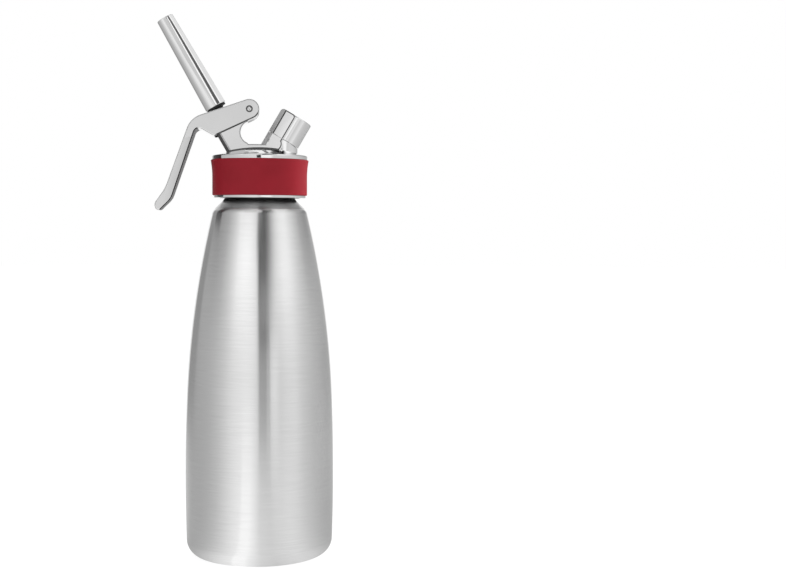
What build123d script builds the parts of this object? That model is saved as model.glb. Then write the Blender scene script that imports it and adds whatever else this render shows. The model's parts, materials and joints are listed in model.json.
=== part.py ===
from build123d import *
import math
import os

# A one-litre cream whipper: a pressed steel bottle, a screw-on head with a tilted dispensing
# valve worked by a hand lever, and a gas charger port under a pull-off cap.
# Millimetres. +Z is up, the origin is the middle of the bottle's base, and the nozzle and the
# lever lean toward -X, the charger port toward +X.
#
# Heights on the head are measured up from the bottle's rim. Heights inside the valve and the
# charger port are measured along their own tilted axes, from where each axis crosses the
# bottle's centre line.

# ---- bottle ---------------------------------------------------------------------------------
RIM_Z = 252.0  # height of the bottle's rim above the table
SHEET = 1.3  # thickness of the bottle's wall
BODY_R = 47.3  # radius above the base corner and where the shoulder starts
BODY_BULGE_DEG = 1.8  # how far the wall leans out as it leaves the base corner
BASE_CORNER_R = 10.8
FOOT_R = 30.0  # inner edge of the ring that the bottle stands on
FOOT_DISH = 1.8  # height of the dished base in its middle
SHOULDER_Z = 100.0  # where the wall starts to draw in
SHOULDER_STEP = 8.45  # top of the shoulder, outside the neck
SHOULDER_TOP_DROP = 29.9  # below the rim
SHOULDER_ROLL_R = 6.0
THREAD_R = 25.6
NECK_DEPTH = 3.3  # neck under the thread, inside the thread's radius
THREAD_BOTTOM_DROP = 14.0
THREAD_TOP_DROP = 3.0
RIM_STEP = 1.4  # rim, inside the thread's radius

# ---- head casting ---------------------------------------------------------------------------
THREAD_CLEAR = 0.4  # radial gap between the bottle's thread and the head's bore
SKIRT_WALL = 2.9  # from the bore to the seat of the silicone band
LIP_STEP = 0.9  # lip, outside the seat of the band
LIP_DROP = 20.0  # bottom of the head below the rim
LIP_H = 1.7
LIP_EDGE = 0.3
GASKET_T = 2.5
CEILING_RISE = 5.5  # ceiling of the head's inside above the rim
FLANGE_STEP = 2.0  # flange, outside the seat of the band
FLANGE_RISE = 4.4  # underside of the flange above the rim
FLANGE_T = 2.95
FLANGE_EDGE = 0.8
DOME_STEP = 1.9  # dome, inside the flange's radius
DOME_H = 4.95
WEB_W = 22.8  # across the flat sides of the valve post, the web and the port block
WEB_RISE = 14.2  # top of the web between the post and the port block
WEB_LEN, WEB_ROOT = 20.0, 8.0  # its length into both, and its depth into the dome
NOTCH_R = 7.3  # round hollow between the post and the port block
NOTCH_S, NOTCH_Q = 30.3, 11.7  # its centre along and across the valve axis
POST_Q = 8.5  # valve axis to the post's outer face
POST_INNER_Q = 6.0  # valve axis to the inner side of the plain post, inside the ear
POST_EDGE_R = 1.8
POST_ROOT_S = 16.0
POST_TOP_S = 44.0
EAR_R = 5.6
EAR_UNDER_DEG = 24.4  # slope of the ear's underside
EAR_UNDER_X = 2.9  # where it runs out, past the notch's centre

# ---- dispensing valve, on the axis that leans toward -X --------------------------------------
TILT_DEG = 30.0
VALVE_DROP = 10.4  # where the valve axis crosses the centre line, below the rim
STEM_R = 3.0
STEM_WALL = 1.1
STEM_RUN = 0.08  # running clearance of the stem in its bores
STEM_TOP_S = 62.0
STEM_FLOOR_S = 14.0  # closed lower end of the stem's bore
STEM_PORT_R = 1.3  # cross hole that lets the cream into the stem
STEM_PORT_S = 15.5
SEAT_S = 13.5  # valve seat on the end of the boss
SEAT_BOSS_WALL = 2.0  # boss, outside the valve disc
SEAL_T = 1.5
SEAL_W = 3.0  # width of the sealing ring on the valve disc
POPPET_T = 2.0
GLAND_DEPTH = 1.6  # room around the stem for the guide bush and the O-ring
GLAND_TOP_S = 23.4
BUSH_S, BUSH_L = 17.2, 4.0
ORING_PLAY = 0.05  # on each side of the O-ring
ORING_S = 22.3
SPRING_POCKET_PLAY = 0.55  # around the spring
SPRING_POCKET_S = 36.0
SPRING_STEP = 1.2  # middle of the spring's wire, outside the stem's radius
SPRING_WIRE_R = 0.45
SPRING_TURNS = 5.5
SPRING_STEPS = 12  # straight lengths in a turn of either spring
COLLAR_RIM = 1.8  # collar that the lever presses, outside the spring's pocket
COLLAR_S, COLLAR_T = 46.75, 2.85
ADAPTER_WALL = 1.4
ADAPTER_TOP_S = 64.0
ADAPTER_CHAMFER = 0.6

# ---- nozzle ---------------------------------------------------------------------------------
NOZZLE_S = 56.3  # base of the nozzle
NOZZLE_L = 64.7
NOZZLE_WALL = 2.55  # around the socket
NOZZLE_TIP_WALL = 1.4
NOZZLE_BORE_R = 4.2
NOZZLE_SOCKET_L = 8.7  # threaded socket in the base
NOZZLE_THREAD_CLEAR = 0.1
NOZZLE_CHAMFER = 0.65
NOZZLE_TIP_ROUND = 0.5
NOZZLE_SEAL_T = 1.2
NOZZLE_SEAL_CLEAR = 0.05

# ---- lever ----------------------------------------------------------------------------------
PIVOT_S, PIVOT_Q = 43.8, 17.6  # lever pin, along and across the valve axis
PIN_R = 2.1
PIN_CLEAR = 0.1
PIN_HEAD_R = 2.9
PIN_HEAD_RIM, PIN_HEAD_T = 0.3, 0.8  # height of the head's edge and of its middle
PIN_HEAD_GAP = 0.15
LEVER_DEG = 19.0  # fall of the lever's top edge at rest
LEVER_CHEEK = 2.3
LEVER_TIP_W = 20.0
LEVER_TAPER_DROP, LEVER_TAPER_R = 18.0, 30.0  # where the handle starts to narrow, and how softly
LEVER_TIP_DROP = 70.0  # where it has the tip's width
LEVER_GAP = 0.3  # between a cheek and the post
LEVER_EYE_R = 6.28
LEVER_PLATE_V = 3.8  # underside of the top plate, above the pin's centre
LEVER_PLATE_U = 6.0  # right end of the top plate
LEVER_WELL_R = 28.0  # room for the post, swung about the pin
LEVER_SLOT_CLEAR = 0.5  # around the adapter's neck
LEVER_SLOT_U = (17.2, 19.4)  # middles of the slot's round ends, along the top plate
LEVER_EDGE = 0.7
# Corners of the side of the lever from the pin's centre, with the radius of each.
LEVER_CORNERS = [
    (-37.0, -6.1, 14.0),  # knuckle
    (-53.2, -50.3, 20.0),  # where the tip curls out
    (-60.5, -60.7, 4.0),
    (-58.3, -66.0, 2.0),
    (-49.5, -57.3, 12.0),
    (-33.6, -10.9, 3.5),  # crook of the finger
    (-22.2, -17.4, 3.5),  # lowest corner of the cheeks
]

# ---- charger port, on the axis that leans toward +X -------------------------------------------
PORT_DROP = 8.8  # where the port axis crosses the centre line, below the rim
BLOCK_R = 10.95
BLOCK_FLAT_P = 10.9  # port axis to the block's flat back
BLOCK_FLAT_END = 0.7  # where the flat sides stop short of the axis
BLOCK_EDGE_R = 2.5
BLOCK_ROOT_S = 12.0
HEEL_R = 4.7  # round end of the block's flat sides, where they meet the dome
HEEL_S, HEEL_P = 24.9, -3.65  # its centre along and across the port axis
SEAM_S = 30.0  # plane between the head's block and the cap
SKIRT_FALL = 8.0  # upright skirt under the round side of the block
STUB_TOP_S = 41.5
STUB_CHAMFER = 0.8
SOCKET_R = 4.8  # takes the neck of a gas charger
SOCKET_S = 32.0
CARRIER_R = 4.0
CARRIER_S = 25.0
CARRIER_GAS_R = 0.8
PIN_SEAT_S = 28.0
PIERCE_R = 1.2
PIERCE_BORE_R = 0.45
PIERCE_TIP_S = 35.2
PIERCE_POINT = 1.6
CHARGER_SEAL_T = 1.5
CHARGER_SEAL_CLEAR = 0.1
CHARGER_SEAL_BORE_R = 2.2
CHECK_ROOM_R = 3.2
CHECK_ROOM_S = 18.0
CHECK_DISC_R = 2.8
CHECK_DISC_T = 1.5
CHECK_SPRING_R = 2.0
CHECK_WIRE_R = 0.3
CHECK_TURNS = 4.5
CHECK_PASSAGE_R = 1.5

# ---- cap ------------------------------------------------------------------------------------
CAP_TOP_S = 47.3
CAP_GAP = 0.3  # seam under the cap, and play over the stub
CAP_WALL = 1.25
CAP_ROOM_S = 43.5
CAP_TOP_EDGE = 0.8
CAP_CORNER_R = 2.0  # round corners of the cap's flat sides
LINER_T = 1.5
LINER_CLEAR = 0.2

# ---- silicone band and head gasket --------------------------------------------------------------
BAND_T = 1.6
BAND_TOP_T = 2.6  # its thickness under the flange
BAND_STRAIGHT = 12.0  # straight height below the flare
BAND_FLARE_BOW = 0.25
BAND_EDGE_R = 0.6
GASKET_CLEAR = 0.7  # around the gasket, in the head's bore
GASKET_IN = 1.8  # how far the gasket reaches inside the neck's radius
TAB_IN, TAB_ROOT = 3.5, 1.0  # how far the pull tab reaches inward, and into the ring
TAB_W = 6.0
TAB_T = 1.5
TAB_DEG = 70.0

# ---- places worked out from the sizes above -----------------------------------------------------
LEAN = math.radians(TILT_DEG)
VALVE = Plane(
    origin=(0, 0, RIM_Z - VALVE_DROP),
    x_dir=(math.cos(LEAN), 0, math.sin(LEAN)),
    z_dir=(-math.sin(LEAN), 0, math.cos(LEAN)),
)
PORT = Plane(
    origin=(0, 0, RIM_Z - PORT_DROP),
    x_dir=(math.cos(LEAN), 0, -math.sin(LEAN)),
    z_dir=(math.sin(LEAN), 0, math.cos(LEAN)),
)
HEAD_FLOOR = RIM_Z - LIP_DROP
CEILING_Z = RIM_Z + CEILING_RISE
FLANGE_Z = RIM_Z + FLANGE_RISE
NECK_R = THREAD_R - NECK_DEPTH
SHOULDER_TOP_R = NECK_R + SHOULDER_STEP
RIM_R = THREAD_R - RIM_STEP
BORE_R = THREAD_R + THREAD_CLEAR
GASKET_R = BORE_R - GASKET_CLEAR
GASKET_BORE_R = NECK_R - GASKET_IN  # also the radius of the head's hollow above the gasket
SKIRT_R = BORE_R + SKIRT_WALL
LIP_R = SKIRT_R + LIP_STEP
FLANGE_R = SKIRT_R + FLANGE_STEP
DOME_R = FLANGE_R - DOME_STEP
BAND_R = SKIRT_R + BAND_T
BAND_TOP_R = SKIRT_R + BAND_TOP_T
STEM_BORE_R = STEM_R - STEM_WALL
POPPET_R = STEM_R + SEAL_W
SEAT_BOSS_R = POPPET_R + SEAT_BOSS_WALL
GLAND_R = STEM_R + GLAND_DEPTH
ORING_WIRE_R = GLAND_DEPTH / 2 - ORING_PLAY
SPRING_R = STEM_R + SPRING_STEP
SPRING_POCKET_R = SPRING_R + SPRING_WIRE_R + SPRING_POCKET_PLAY
COLLAR_R = SPRING_POCKET_R + COLLAR_RIM
ADAPTER_R = STEM_R + ADAPTER_WALL
SLOT_R = ADAPTER_R + LEVER_SLOT_CLEAR
SOCKET_THREAD_R = ADAPTER_R + NOZZLE_THREAD_CLEAR
NOZZLE_BASE_R = SOCKET_THREAD_R + NOZZLE_WALL
NOZZLE_TIP_R = NOZZLE_BORE_R + NOZZLE_TIP_WALL
NOZZLE_SEAL_R = NOZZLE_BASE_R - NOZZLE_CHAMFER
LEVER_W = WEB_W + 2 * (LEVER_GAP + LEVER_CHEEK)
CAP_ROOM_R = BLOCK_R - CAP_WALL
STUB_R = CAP_ROOM_R - CAP_GAP
PIVOT = VALVE.from_local_coords(Vector(PIVOT_Q, 0, PIVOT_S))
NOTCH = VALVE.from_local_coords(Vector(NOTCH_Q, 0, NOTCH_S))
FAR = 2 * WEB_W  # longer than anything that a cut goes through


def turned(outline, frame=Plane.XY):
    """A solid turned about the frame's Z from a closed outline of (radius, height) corners."""
    profile = Plane.XZ * make_face(Polyline(*outline, close=True))
    return frame * revolve(profile, axis=Axis.Z)


def rod(radius, start, end, frame=Plane.XY):
    """A plain round rod along the frame's Z, from one height to another."""
    return turned([(0, start), (radius, start), (radius, end), (0, end)], frame)


def ring(inner, outer, start, end, frame=Plane.XY):
    """A plain ring about the frame's Z."""
    return turned([(inner, start), (outer, start), (outer, end), (inner, end)], frame)


def rounded(corners):
    """A flat face in the sketch plane from (x, y, radius) corners."""
    points = [(x, y) for x, y, _ in corners]
    return make_face(FilletPolyline(*points, radius=[r for _, _, r in corners], close=True))


def slab(face, width):
    """A flat-sided plate: a face drawn in X and Z, as thick as the width, centred on Y = 0."""
    return extrude(Plane.XZ * face, amount=width / 2, both=True)


def bottle():
    """Pressed sheet: one open outline from the middle of the base up to the rim, thickened inward."""
    dish = Line((0, FOOT_DISH), (FOOT_R, 0))
    foot = Line(dish @ 1, (BODY_R - BASE_CORNER_R, 0))
    corner = JernArc(foot @ 1, (1, 0), BASE_CORNER_R, 90 - BODY_BULGE_DEG)
    side = TangentArc(corner @ 1, (BODY_R, SHOULDER_Z), tangent=corner % 1)
    shoulder = TangentArc(side @ 1, (SHOULDER_TOP_R, RIM_Z - SHOULDER_TOP_DROP), tangent=side % 1)
    lean = shoulder % 1
    turn = 45 - math.degrees(math.atan2(-lean.X, lean.Y))
    roll = JernArc(shoulder @ 1, lean, SHOULDER_ROLL_R, turn)
    run = (roll @ 1).X - NECK_R
    finish = Polyline(
        roll @ 1,
        roll @ 1 + Vector(-run, run),
        (THREAD_R, RIM_Z - THREAD_BOTTOM_DROP),
        (THREAD_R, RIM_Z - THREAD_TOP_DROP),
        (RIM_R, RIM_Z),
    )
    outside = dish + foot + corner + side + shoulder + roll + finish
    sheet = make_face(offset(outside, SHEET, side=Side.LEFT, closed=True))
    return revolve(Plane.XZ * sheet, axis=Axis.Z)


def square_back():
    """Section of the square side of the port block and of the cap, toward the notch."""
    back = Pos(-(BLOCK_FLAT_P + BLOCK_FLAT_END) / 2, 0) * Rectangle(
        BLOCK_FLAT_P - BLOCK_FLAT_END, WEB_W
    )
    return fillet(back.vertices().group_by(Axis.X)[0], BLOCK_EDGE_R)


def head_shell():
    """Skirt, flange and dome of the head, still solid inside."""
    top = FLANGE_Z + FLANGE_T
    steep = FLANGE_EDGE / 3
    skirt = turned(
        [
            (0, HEAD_FLOOR),
            (LIP_R - LIP_EDGE, HEAD_FLOOR),
            (LIP_R, HEAD_FLOOR + LIP_EDGE),
            (LIP_R, HEAD_FLOOR + LIP_H),
            (SKIRT_R, HEAD_FLOOR + LIP_H),
            (SKIRT_R, FLANGE_Z),
            (FLANGE_R - steep, FLANGE_Z),
            (FLANGE_R, FLANGE_Z + steep),
            (FLANGE_R, top - FLANGE_EDGE),
            (FLANGE_R - steep, top - steep),
            (FLANGE_R - FLANGE_EDGE, top),
            (0, top),
        ]
    )
    crown = TangentArc((0, top + DOME_H), (DOME_R, top), tangent=(1, 0))
    dome = make_face(crown + Polyline(crown @ 1, (0, top), crown @ 0))
    return skirt + revolve(Plane.XZ * dome, axis=Axis.Z)


def valve_post():
    """Tilted post around the valve, with the ear for the lever pin on its inner side."""
    section = Pos((POST_INNER_Q - POST_Q) / 2, 0) * Rectangle(POST_Q + POST_INNER_Q, WEB_W)
    section = fillet(section.vertices().group_by(Axis.X)[0], POST_EDGE_R)
    column = VALVE * extrude(Pos(0, 0, POST_ROOT_S) * section, POST_TOP_S - POST_ROOT_S)
    under = math.radians(EAR_UNDER_DEG)
    heel = PIVOT + EAR_R * Vector(math.sin(under), 0, -math.cos(under))
    past = (heel.X - NOTCH.X + EAR_UNDER_X) / math.cos(under)
    corners = [
        VALVE.from_local_coords(Vector(0, 0, NOTCH_S)),
        VALVE.from_local_coords(Vector(0, 0, POST_TOP_S)),
        VALVE.from_local_coords(Vector(POST_Q, 0, POST_TOP_S)),
        PIVOT + EAR_R * Vector(-math.sin(LEAN), 0, math.cos(LEAN)),
        PIVOT,
        heel,
        heel - past * Vector(math.cos(under), 0, math.sin(under)),
        NOTCH,
    ]
    neck = make_face(Polyline(*[(p.X, p.Z) for p in corners], close=True))
    ear = Pos(PIVOT.X, PIVOT.Z) * Circle(EAR_R)
    hollow = Pos(NOTCH.X, NOTCH.Z) * Circle(NOTCH_R)
    return column + slab(neck + ear, WEB_W) - slab(hollow, FAR)


def web():
    """Low flat-sided wall that ties the post to the port block."""
    bar = Pos(0, RIM_Z + WEB_RISE - WEB_ROOT / 2) * Rectangle(WEB_LEN, WEB_ROOT)
    return slab(bar, WEB_W)


def port_block():
    """Tilted block of the charger port, with an upright skirt under its round side."""
    seam = Pos(0, 0, SEAM_S) * (square_back() + Circle(BLOCK_R))
    block = PORT * extrude(seam, -(SEAM_S - BLOCK_ROOT_S))
    heel = PORT.from_local_coords(Vector(HEEL_P, 0, HEEL_S))
    block += slab(Pos(heel.X, heel.Z) * Circle(HEEL_R), WEB_W)
    disc = PORT * (Pos(0, 0, SEAM_S) * Circle(BLOCK_R))
    skirt = extrude(disc, amount=SKIRT_FALL, dir=(0, 0, -1))
    stub = turned(
        [
            (0, BLOCK_ROOT_S),
            (STUB_R, BLOCK_ROOT_S),
            (STUB_R, STUB_TOP_S - STUB_CHAMFER),
            (STUB_R - STUB_CHAMFER, STUB_TOP_S),
            (0, STUB_TOP_S),
        ],
        PORT,
    )
    return block + skirt + stub


def head_casting():
    """Shell, valve post, web and port block in one casting, bored for the valve and the charger."""
    body = head_shell() + valve_post() + web() + port_block()
    body -= rod(BORE_R, HEAD_FLOOR - 1, RIM_Z + GASKET_T)
    body -= rod(GASKET_BORE_R, RIM_Z, CEILING_Z)
    body += rod(SEAT_BOSS_R, SEAT_S, GLAND_TOP_S, VALVE)
    body -= ring(GASKET_BORE_R, BORE_R, HEAD_FLOOR, RIM_Z + GASKET_T)
    body -= rod(GLAND_R, SEAT_S - 1, GLAND_TOP_S, VALVE)
    body -= rod(STEM_R + STEM_RUN, SEAT_S, POST_TOP_S + 1, VALVE)
    body -= rod(SPRING_POCKET_R, SPRING_POCKET_S, POST_TOP_S + 1, VALVE)
    body -= rod(SOCKET_R, SOCKET_S, STUB_TOP_S + 1, PORT)
    body -= rod(CARRIER_R, CARRIER_S, SOCKET_S + 1, PORT)
    body -= rod(CHECK_ROOM_R, CHECK_ROOM_S, CARRIER_S + 1, PORT)
    body -= rod(CHECK_PASSAGE_R, BLOCK_ROOT_S, CHECK_ROOM_S + 1, PORT)
    return body - slab(Pos(PIVOT.X, PIVOT.Z) * Circle(PIN_R), FAR)


def silicone_band():
    """Grip ring in the channel between the lip and the flange, flared under the flange."""
    low, high = HEAD_FLOOR + LIP_H, FLANGE_Z
    bend = low + BAND_STRAIGHT
    foot = Polyline((SKIRT_R, low), (BAND_R - BAND_EDGE_R, low), (BAND_R, low + BAND_EDGE_R), (BAND_R, bend))
    flare = ThreePointArc(
        (BAND_R, bend),
        ((BAND_R + BAND_TOP_R) / 2 - BAND_FLARE_BOW, (bend + high) / 2),
        (BAND_TOP_R, high),
    )
    back = Polyline((BAND_TOP_R, high), (SKIRT_R, high), (SKIRT_R, low))
    return revolve(Plane.XZ * make_face(foot + flare + back), axis=Axis.Z)


def head_gasket():
    """Flat seal between the rim and the head, with a tab to pull it out by."""
    seal = ring(GASKET_BORE_R, GASKET_R, RIM_Z, RIM_Z + GASKET_T)
    tab = Box(TAB_IN + TAB_ROOT, TAB_W, TAB_T)
    tab = Pos(GASKET_BORE_R + (TAB_ROOT - TAB_IN) / 2, 0, RIM_Z + GASKET_T - TAB_T / 2) * tab
    return seal + Rot(0, 0, TAB_DEG) * tab


def valve_stem():
    """Hollow stem with the valve disc at its lower end and a cross hole above the disc."""
    seal_s = SEAT_S - SEAL_T
    stem = turned(
        [
            (0, seal_s - POPPET_T),
            (POPPET_R - POPPET_T / 2, seal_s - POPPET_T),
            (POPPET_R, seal_s - POPPET_T / 2),
            (POPPET_R, seal_s),
            (STEM_R, seal_s),
            (STEM_R, STEM_TOP_S),
            (STEM_BORE_R, STEM_TOP_S),
            (STEM_BORE_R, STEM_FLOOR_S),
            (0, STEM_FLOOR_S),
        ],
        VALVE,
    )
    drill = Pos(0, 0, STEM_PORT_S) * Rot(90, 0, 0) * Cylinder(STEM_PORT_R, 3 * STEM_R)
    return stem - VALVE * drill


def stem_oring():
    """O-ring in the gland, its section drawn with six flats."""
    section = Pos((STEM_R + GLAND_R) / 2, ORING_S) * RegularPolygon(ORING_WIRE_R, 6)
    return VALVE * revolve(Plane.XZ * section, axis=Axis.Z)


def coil(radius, wire_r, turns, start, end, frame):
    """A compression spring between two heights: straight lengths of six-sided wire, mitred."""
    rise = end - start - 2 * wire_r
    count = round(turns * SPRING_STEPS)
    points = []
    for i in range(count + 1):
        angle = 2 * math.pi * i / SPRING_STEPS
        height = start + wire_r + rise * i / count
        points.append((radius * math.cos(angle), radius * math.sin(angle), height))
    path = Polyline(*points)
    wire = Plane(origin=path @ 0, z_dir=path % 0) * RegularPolygon(wire_r, 6)
    return frame * sweep(wire, path=path, transition=Transition.RIGHT)


def nozzle_adapter():
    """Collar that the lever presses down, with the neck that the nozzle screws on to."""
    return turned(
        [
            (STEM_R, COLLAR_S),
            (COLLAR_R, COLLAR_S),
            (COLLAR_R, COLLAR_S + COLLAR_T),
            (ADAPTER_R, COLLAR_S + COLLAR_T),
            (ADAPTER_R, ADAPTER_TOP_S - ADAPTER_CHAMFER),
            (ADAPTER_R - ADAPTER_CHAMFER, ADAPTER_TOP_S),
            (STEM_R, ADAPTER_TOP_S),
        ],
        VALVE,
    )


def nozzle():
    """Long tapered tube with a straight bore and a threaded socket at its base."""
    tip = NOZZLE_S + NOZZLE_L
    return turned(
        [
            (SOCKET_THREAD_R, NOZZLE_S),
            (NOZZLE_BASE_R - NOZZLE_CHAMFER, NOZZLE_S),
            (NOZZLE_BASE_R, NOZZLE_S + NOZZLE_CHAMFER),
            (NOZZLE_TIP_R, tip - NOZZLE_TIP_ROUND),
            (NOZZLE_TIP_R - NOZZLE_TIP_ROUND, tip),
            (NOZZLE_BORE_R, tip),
            (NOZZLE_BORE_R, NOZZLE_S + NOZZLE_SOCKET_L),
            (SOCKET_THREAD_R, NOZZLE_S + NOZZLE_SOCKET_L),
        ],
        VALVE,
    )


def side_rims(body):
    """Edges around the two broad sides of a body, without those inside a side."""
    edges = [e for f in body.faces() if abs(f.normal_at().Y) > 0.9 for e in f.edges()]
    return [e for e in edges if sum(e.is_same(other) for other in edges) == 1]


def lever():
    """Cast lever: a bowed handle, a top plate with a slot for the valve, and two cheeks."""
    fall = math.radians(LEVER_DEG)
    crest = (-LEVER_EYE_R * math.sin(fall), LEVER_EYE_R * math.cos(fall), 0)
    low_x, low_y, _ = LEVER_CORNERS[-1]
    reach = math.hypot(low_x, low_y)
    under = math.atan2(low_y, low_x) + math.acos(LEVER_EYE_R / reach)
    heel = (LEVER_EYE_R * math.cos(under), LEVER_EYE_R * math.sin(under), 0)
    side = rounded([(0, 0, 0), crest, *LEVER_CORNERS, heel]) + Circle(LEVER_EYE_R)
    at_pin = Pos(PIVOT.X, PIVOT.Z)
    blank = slab(at_pin * side, LEVER_W)
    top_z, low_z = PIVOT.Z + 2 * LEVER_EYE_R, PIVOT.Z - LEVER_TIP_DROP
    taper_z = PIVOT.Z - LEVER_TAPER_DROP
    front = rounded(
        [
            (-LEVER_W / 2, top_z, 0),
            (-LEVER_W / 2, taper_z, LEVER_TAPER_R),
            (-LEVER_TIP_W / 2, low_z, 0),
            (LEVER_TIP_W / 2, low_z, 0),
            (LEVER_W / 2, taper_z, LEVER_TAPER_R),
            (LEVER_W / 2, top_z, 0),
        ]
    )
    body = blank & extrude(Plane.YZ * front, amount=4 * FAR, both=True)
    body = chamfer(side_rims(body), LEVER_EDGE)
    channel = WEB_W + 2 * LEVER_GAP
    plate = Pos(-LEVER_WELL_R - LEVER_PLATE_U, LEVER_PLATE_V + FAR / 2) * Rectangle(2 * LEVER_WELL_R, FAR)
    well = Circle(LEVER_WELL_R) - Rot(0, 0, LEVER_DEG) * plate
    body -= slab(at_pin * well, channel)
    slot_at = Plane(
        origin=(PIVOT.X, 0, PIVOT.Z),
        x_dir=(-math.cos(fall), 0, -math.sin(fall)),
        z_dir=(-math.sin(fall), 0, math.cos(fall)),
    )
    left, right = LEVER_SLOT_U
    slot = SlotCenterToCenter(right - left, 2 * SLOT_R)
    body -= slot_at * extrude(Pos((left + right) / 2, 0) * slot, 4 * LEVER_EYE_R)
    return body - slab(at_pin * Circle(PIN_R + PIN_CLEAR), FAR)


def lever_pin():
    """Rivet through the ear and both cheeks, with a low domed head at each end."""
    shank = LEVER_W / 2 + PIN_HEAD_GAP
    head = [(PIN_R, 0), (PIN_HEAD_R, 0), (PIN_HEAD_R, PIN_HEAD_RIM), (0, PIN_HEAD_T)]
    outline = [(r, shank + rise) for r, rise in head]
    mirrored = [(r, -height) for r, height in reversed(outline)]
    return turned(outline + mirrored, Plane(origin=PIVOT, z_dir=(0, 1, 0)))


def piercing_pin():
    """Hollow needle that opens the charger."""
    return turned(
        [
            (PIERCE_BORE_R, PIN_SEAT_S),
            (PIERCE_R, PIN_SEAT_S),
            (PIERCE_R, PIERCE_TIP_S - PIERCE_POINT),
            (PIERCE_BORE_R, PIERCE_TIP_S),
        ],
        PORT,
    )


def pin_carrier():
    """Plug pressed into the port: it holds the needle and is the seat of the check valve."""
    return turned(
        [
            (CARRIER_GAS_R, CARRIER_S),
            (CARRIER_R, CARRIER_S),
            (CARRIER_R, SOCKET_S),
            (PIERCE_R, SOCKET_S),
            (PIERCE_R, PIN_SEAT_S),
            (CARRIER_GAS_R, PIN_SEAT_S),
        ],
        PORT,
    )


def protective_cap():
    """Cap that slips over the port stub, flush with the block below it."""
    low = SEAM_S + CAP_GAP
    barrel = turned(
        [
            (0, low),
            (BLOCK_R, low),
            (BLOCK_R, CAP_TOP_S - CAP_TOP_EDGE),
            (BLOCK_R - CAP_TOP_EDGE, CAP_TOP_S),
            (0, CAP_TOP_S),
        ]
    )
    back = extrude(Pos(0, 0, low) * square_back(), CAP_TOP_S - low)
    side = rounded(
        [
            (-BLOCK_FLAT_P, low, 0),
            (-BLOCK_FLAT_P, CAP_TOP_S, CAP_CORNER_R),
            (-BLOCK_FLAT_END, CAP_TOP_S, CAP_CORNER_R),
            (-BLOCK_FLAT_END, low, 0),
        ]
    )
    back &= slab(side, FAR)
    return PORT * (barrel + back - rod(CAP_ROOM_R, low - 1, CAP_ROOM_S))


seal_low = SEAT_S - SEAL_T
carrier_disc = CARRIER_S - CHECK_DISC_T
pieces = {
    "bottle": bottle(),
    "head_casting": head_casting(),
    "silicone_band": silicone_band(),
    "head_gasket": head_gasket(),
    "valve_stem": valve_stem(),
    "valve_seal": ring(STEM_R, POPPET_R, seal_low, SEAT_S, VALVE),
    "stem_guide_bush": ring(STEM_R + STEM_RUN, GLAND_R, BUSH_S, BUSH_S + BUSH_L, VALVE),
    "stem_oring": stem_oring(),
    "return_spring": coil(
        SPRING_R, SPRING_WIRE_R, SPRING_TURNS, SPRING_POCKET_S, COLLAR_S, VALVE
    ),
    "nozzle_adapter": nozzle_adapter(),
    "nozzle_seal": ring(
        ADAPTER_R + NOZZLE_SEAL_CLEAR, NOZZLE_SEAL_R, NOZZLE_S - NOZZLE_SEAL_T, NOZZLE_S, VALVE
    ),
    "nozzle": nozzle(),
    "lever": lever(),
    "lever_pin": lever_pin(),
    "pin_carrier": pin_carrier(),
    "piercing_pin": piercing_pin(),
    "charger_seal": ring(
        CHARGER_SEAL_BORE_R,
        SOCKET_R - CHARGER_SEAL_CLEAR,
        SOCKET_S,
        SOCKET_S + CHARGER_SEAL_T,
        PORT,
    ),
    "check_valve_disc": rod(CHECK_DISC_R, carrier_disc, CARRIER_S, PORT),
    "check_valve_spring": coil(
        CHECK_SPRING_R, CHECK_WIRE_R, CHECK_TURNS, CHECK_ROOM_S, carrier_disc, PORT
    ),
    "protective_cap": protective_cap(),
    "cap_liner": rod(CAP_ROOM_R - LINER_CLEAR, CAP_ROOM_S - LINER_T, CAP_ROOM_S, PORT),
}

os.makedirs("parts", exist_ok=True)
for name, solid in pieces.items():
    export_step(solid, f"parts/{name}.step")
    print(f"{name:20s} {solid.volume:10.1f} mm3")
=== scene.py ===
# %% [markdown]
# # A cream whipper
# The object is a one-litre cream whipper: a pressed steel bottle, a cast head that screws on to it,
# a hand lever, a valve with a long nozzle, and a port for gas chargers under a cap. The engineering
# model gives every piece its size and place. This script loads it as a fixed frame, and makes each
# piece again with the threads, round wire and softened edges that the real one has.

# %% Load the frame
import json
import math

import bmesh
import bpy
from mathutils import Matrix, Quaternion, Vector


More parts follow.
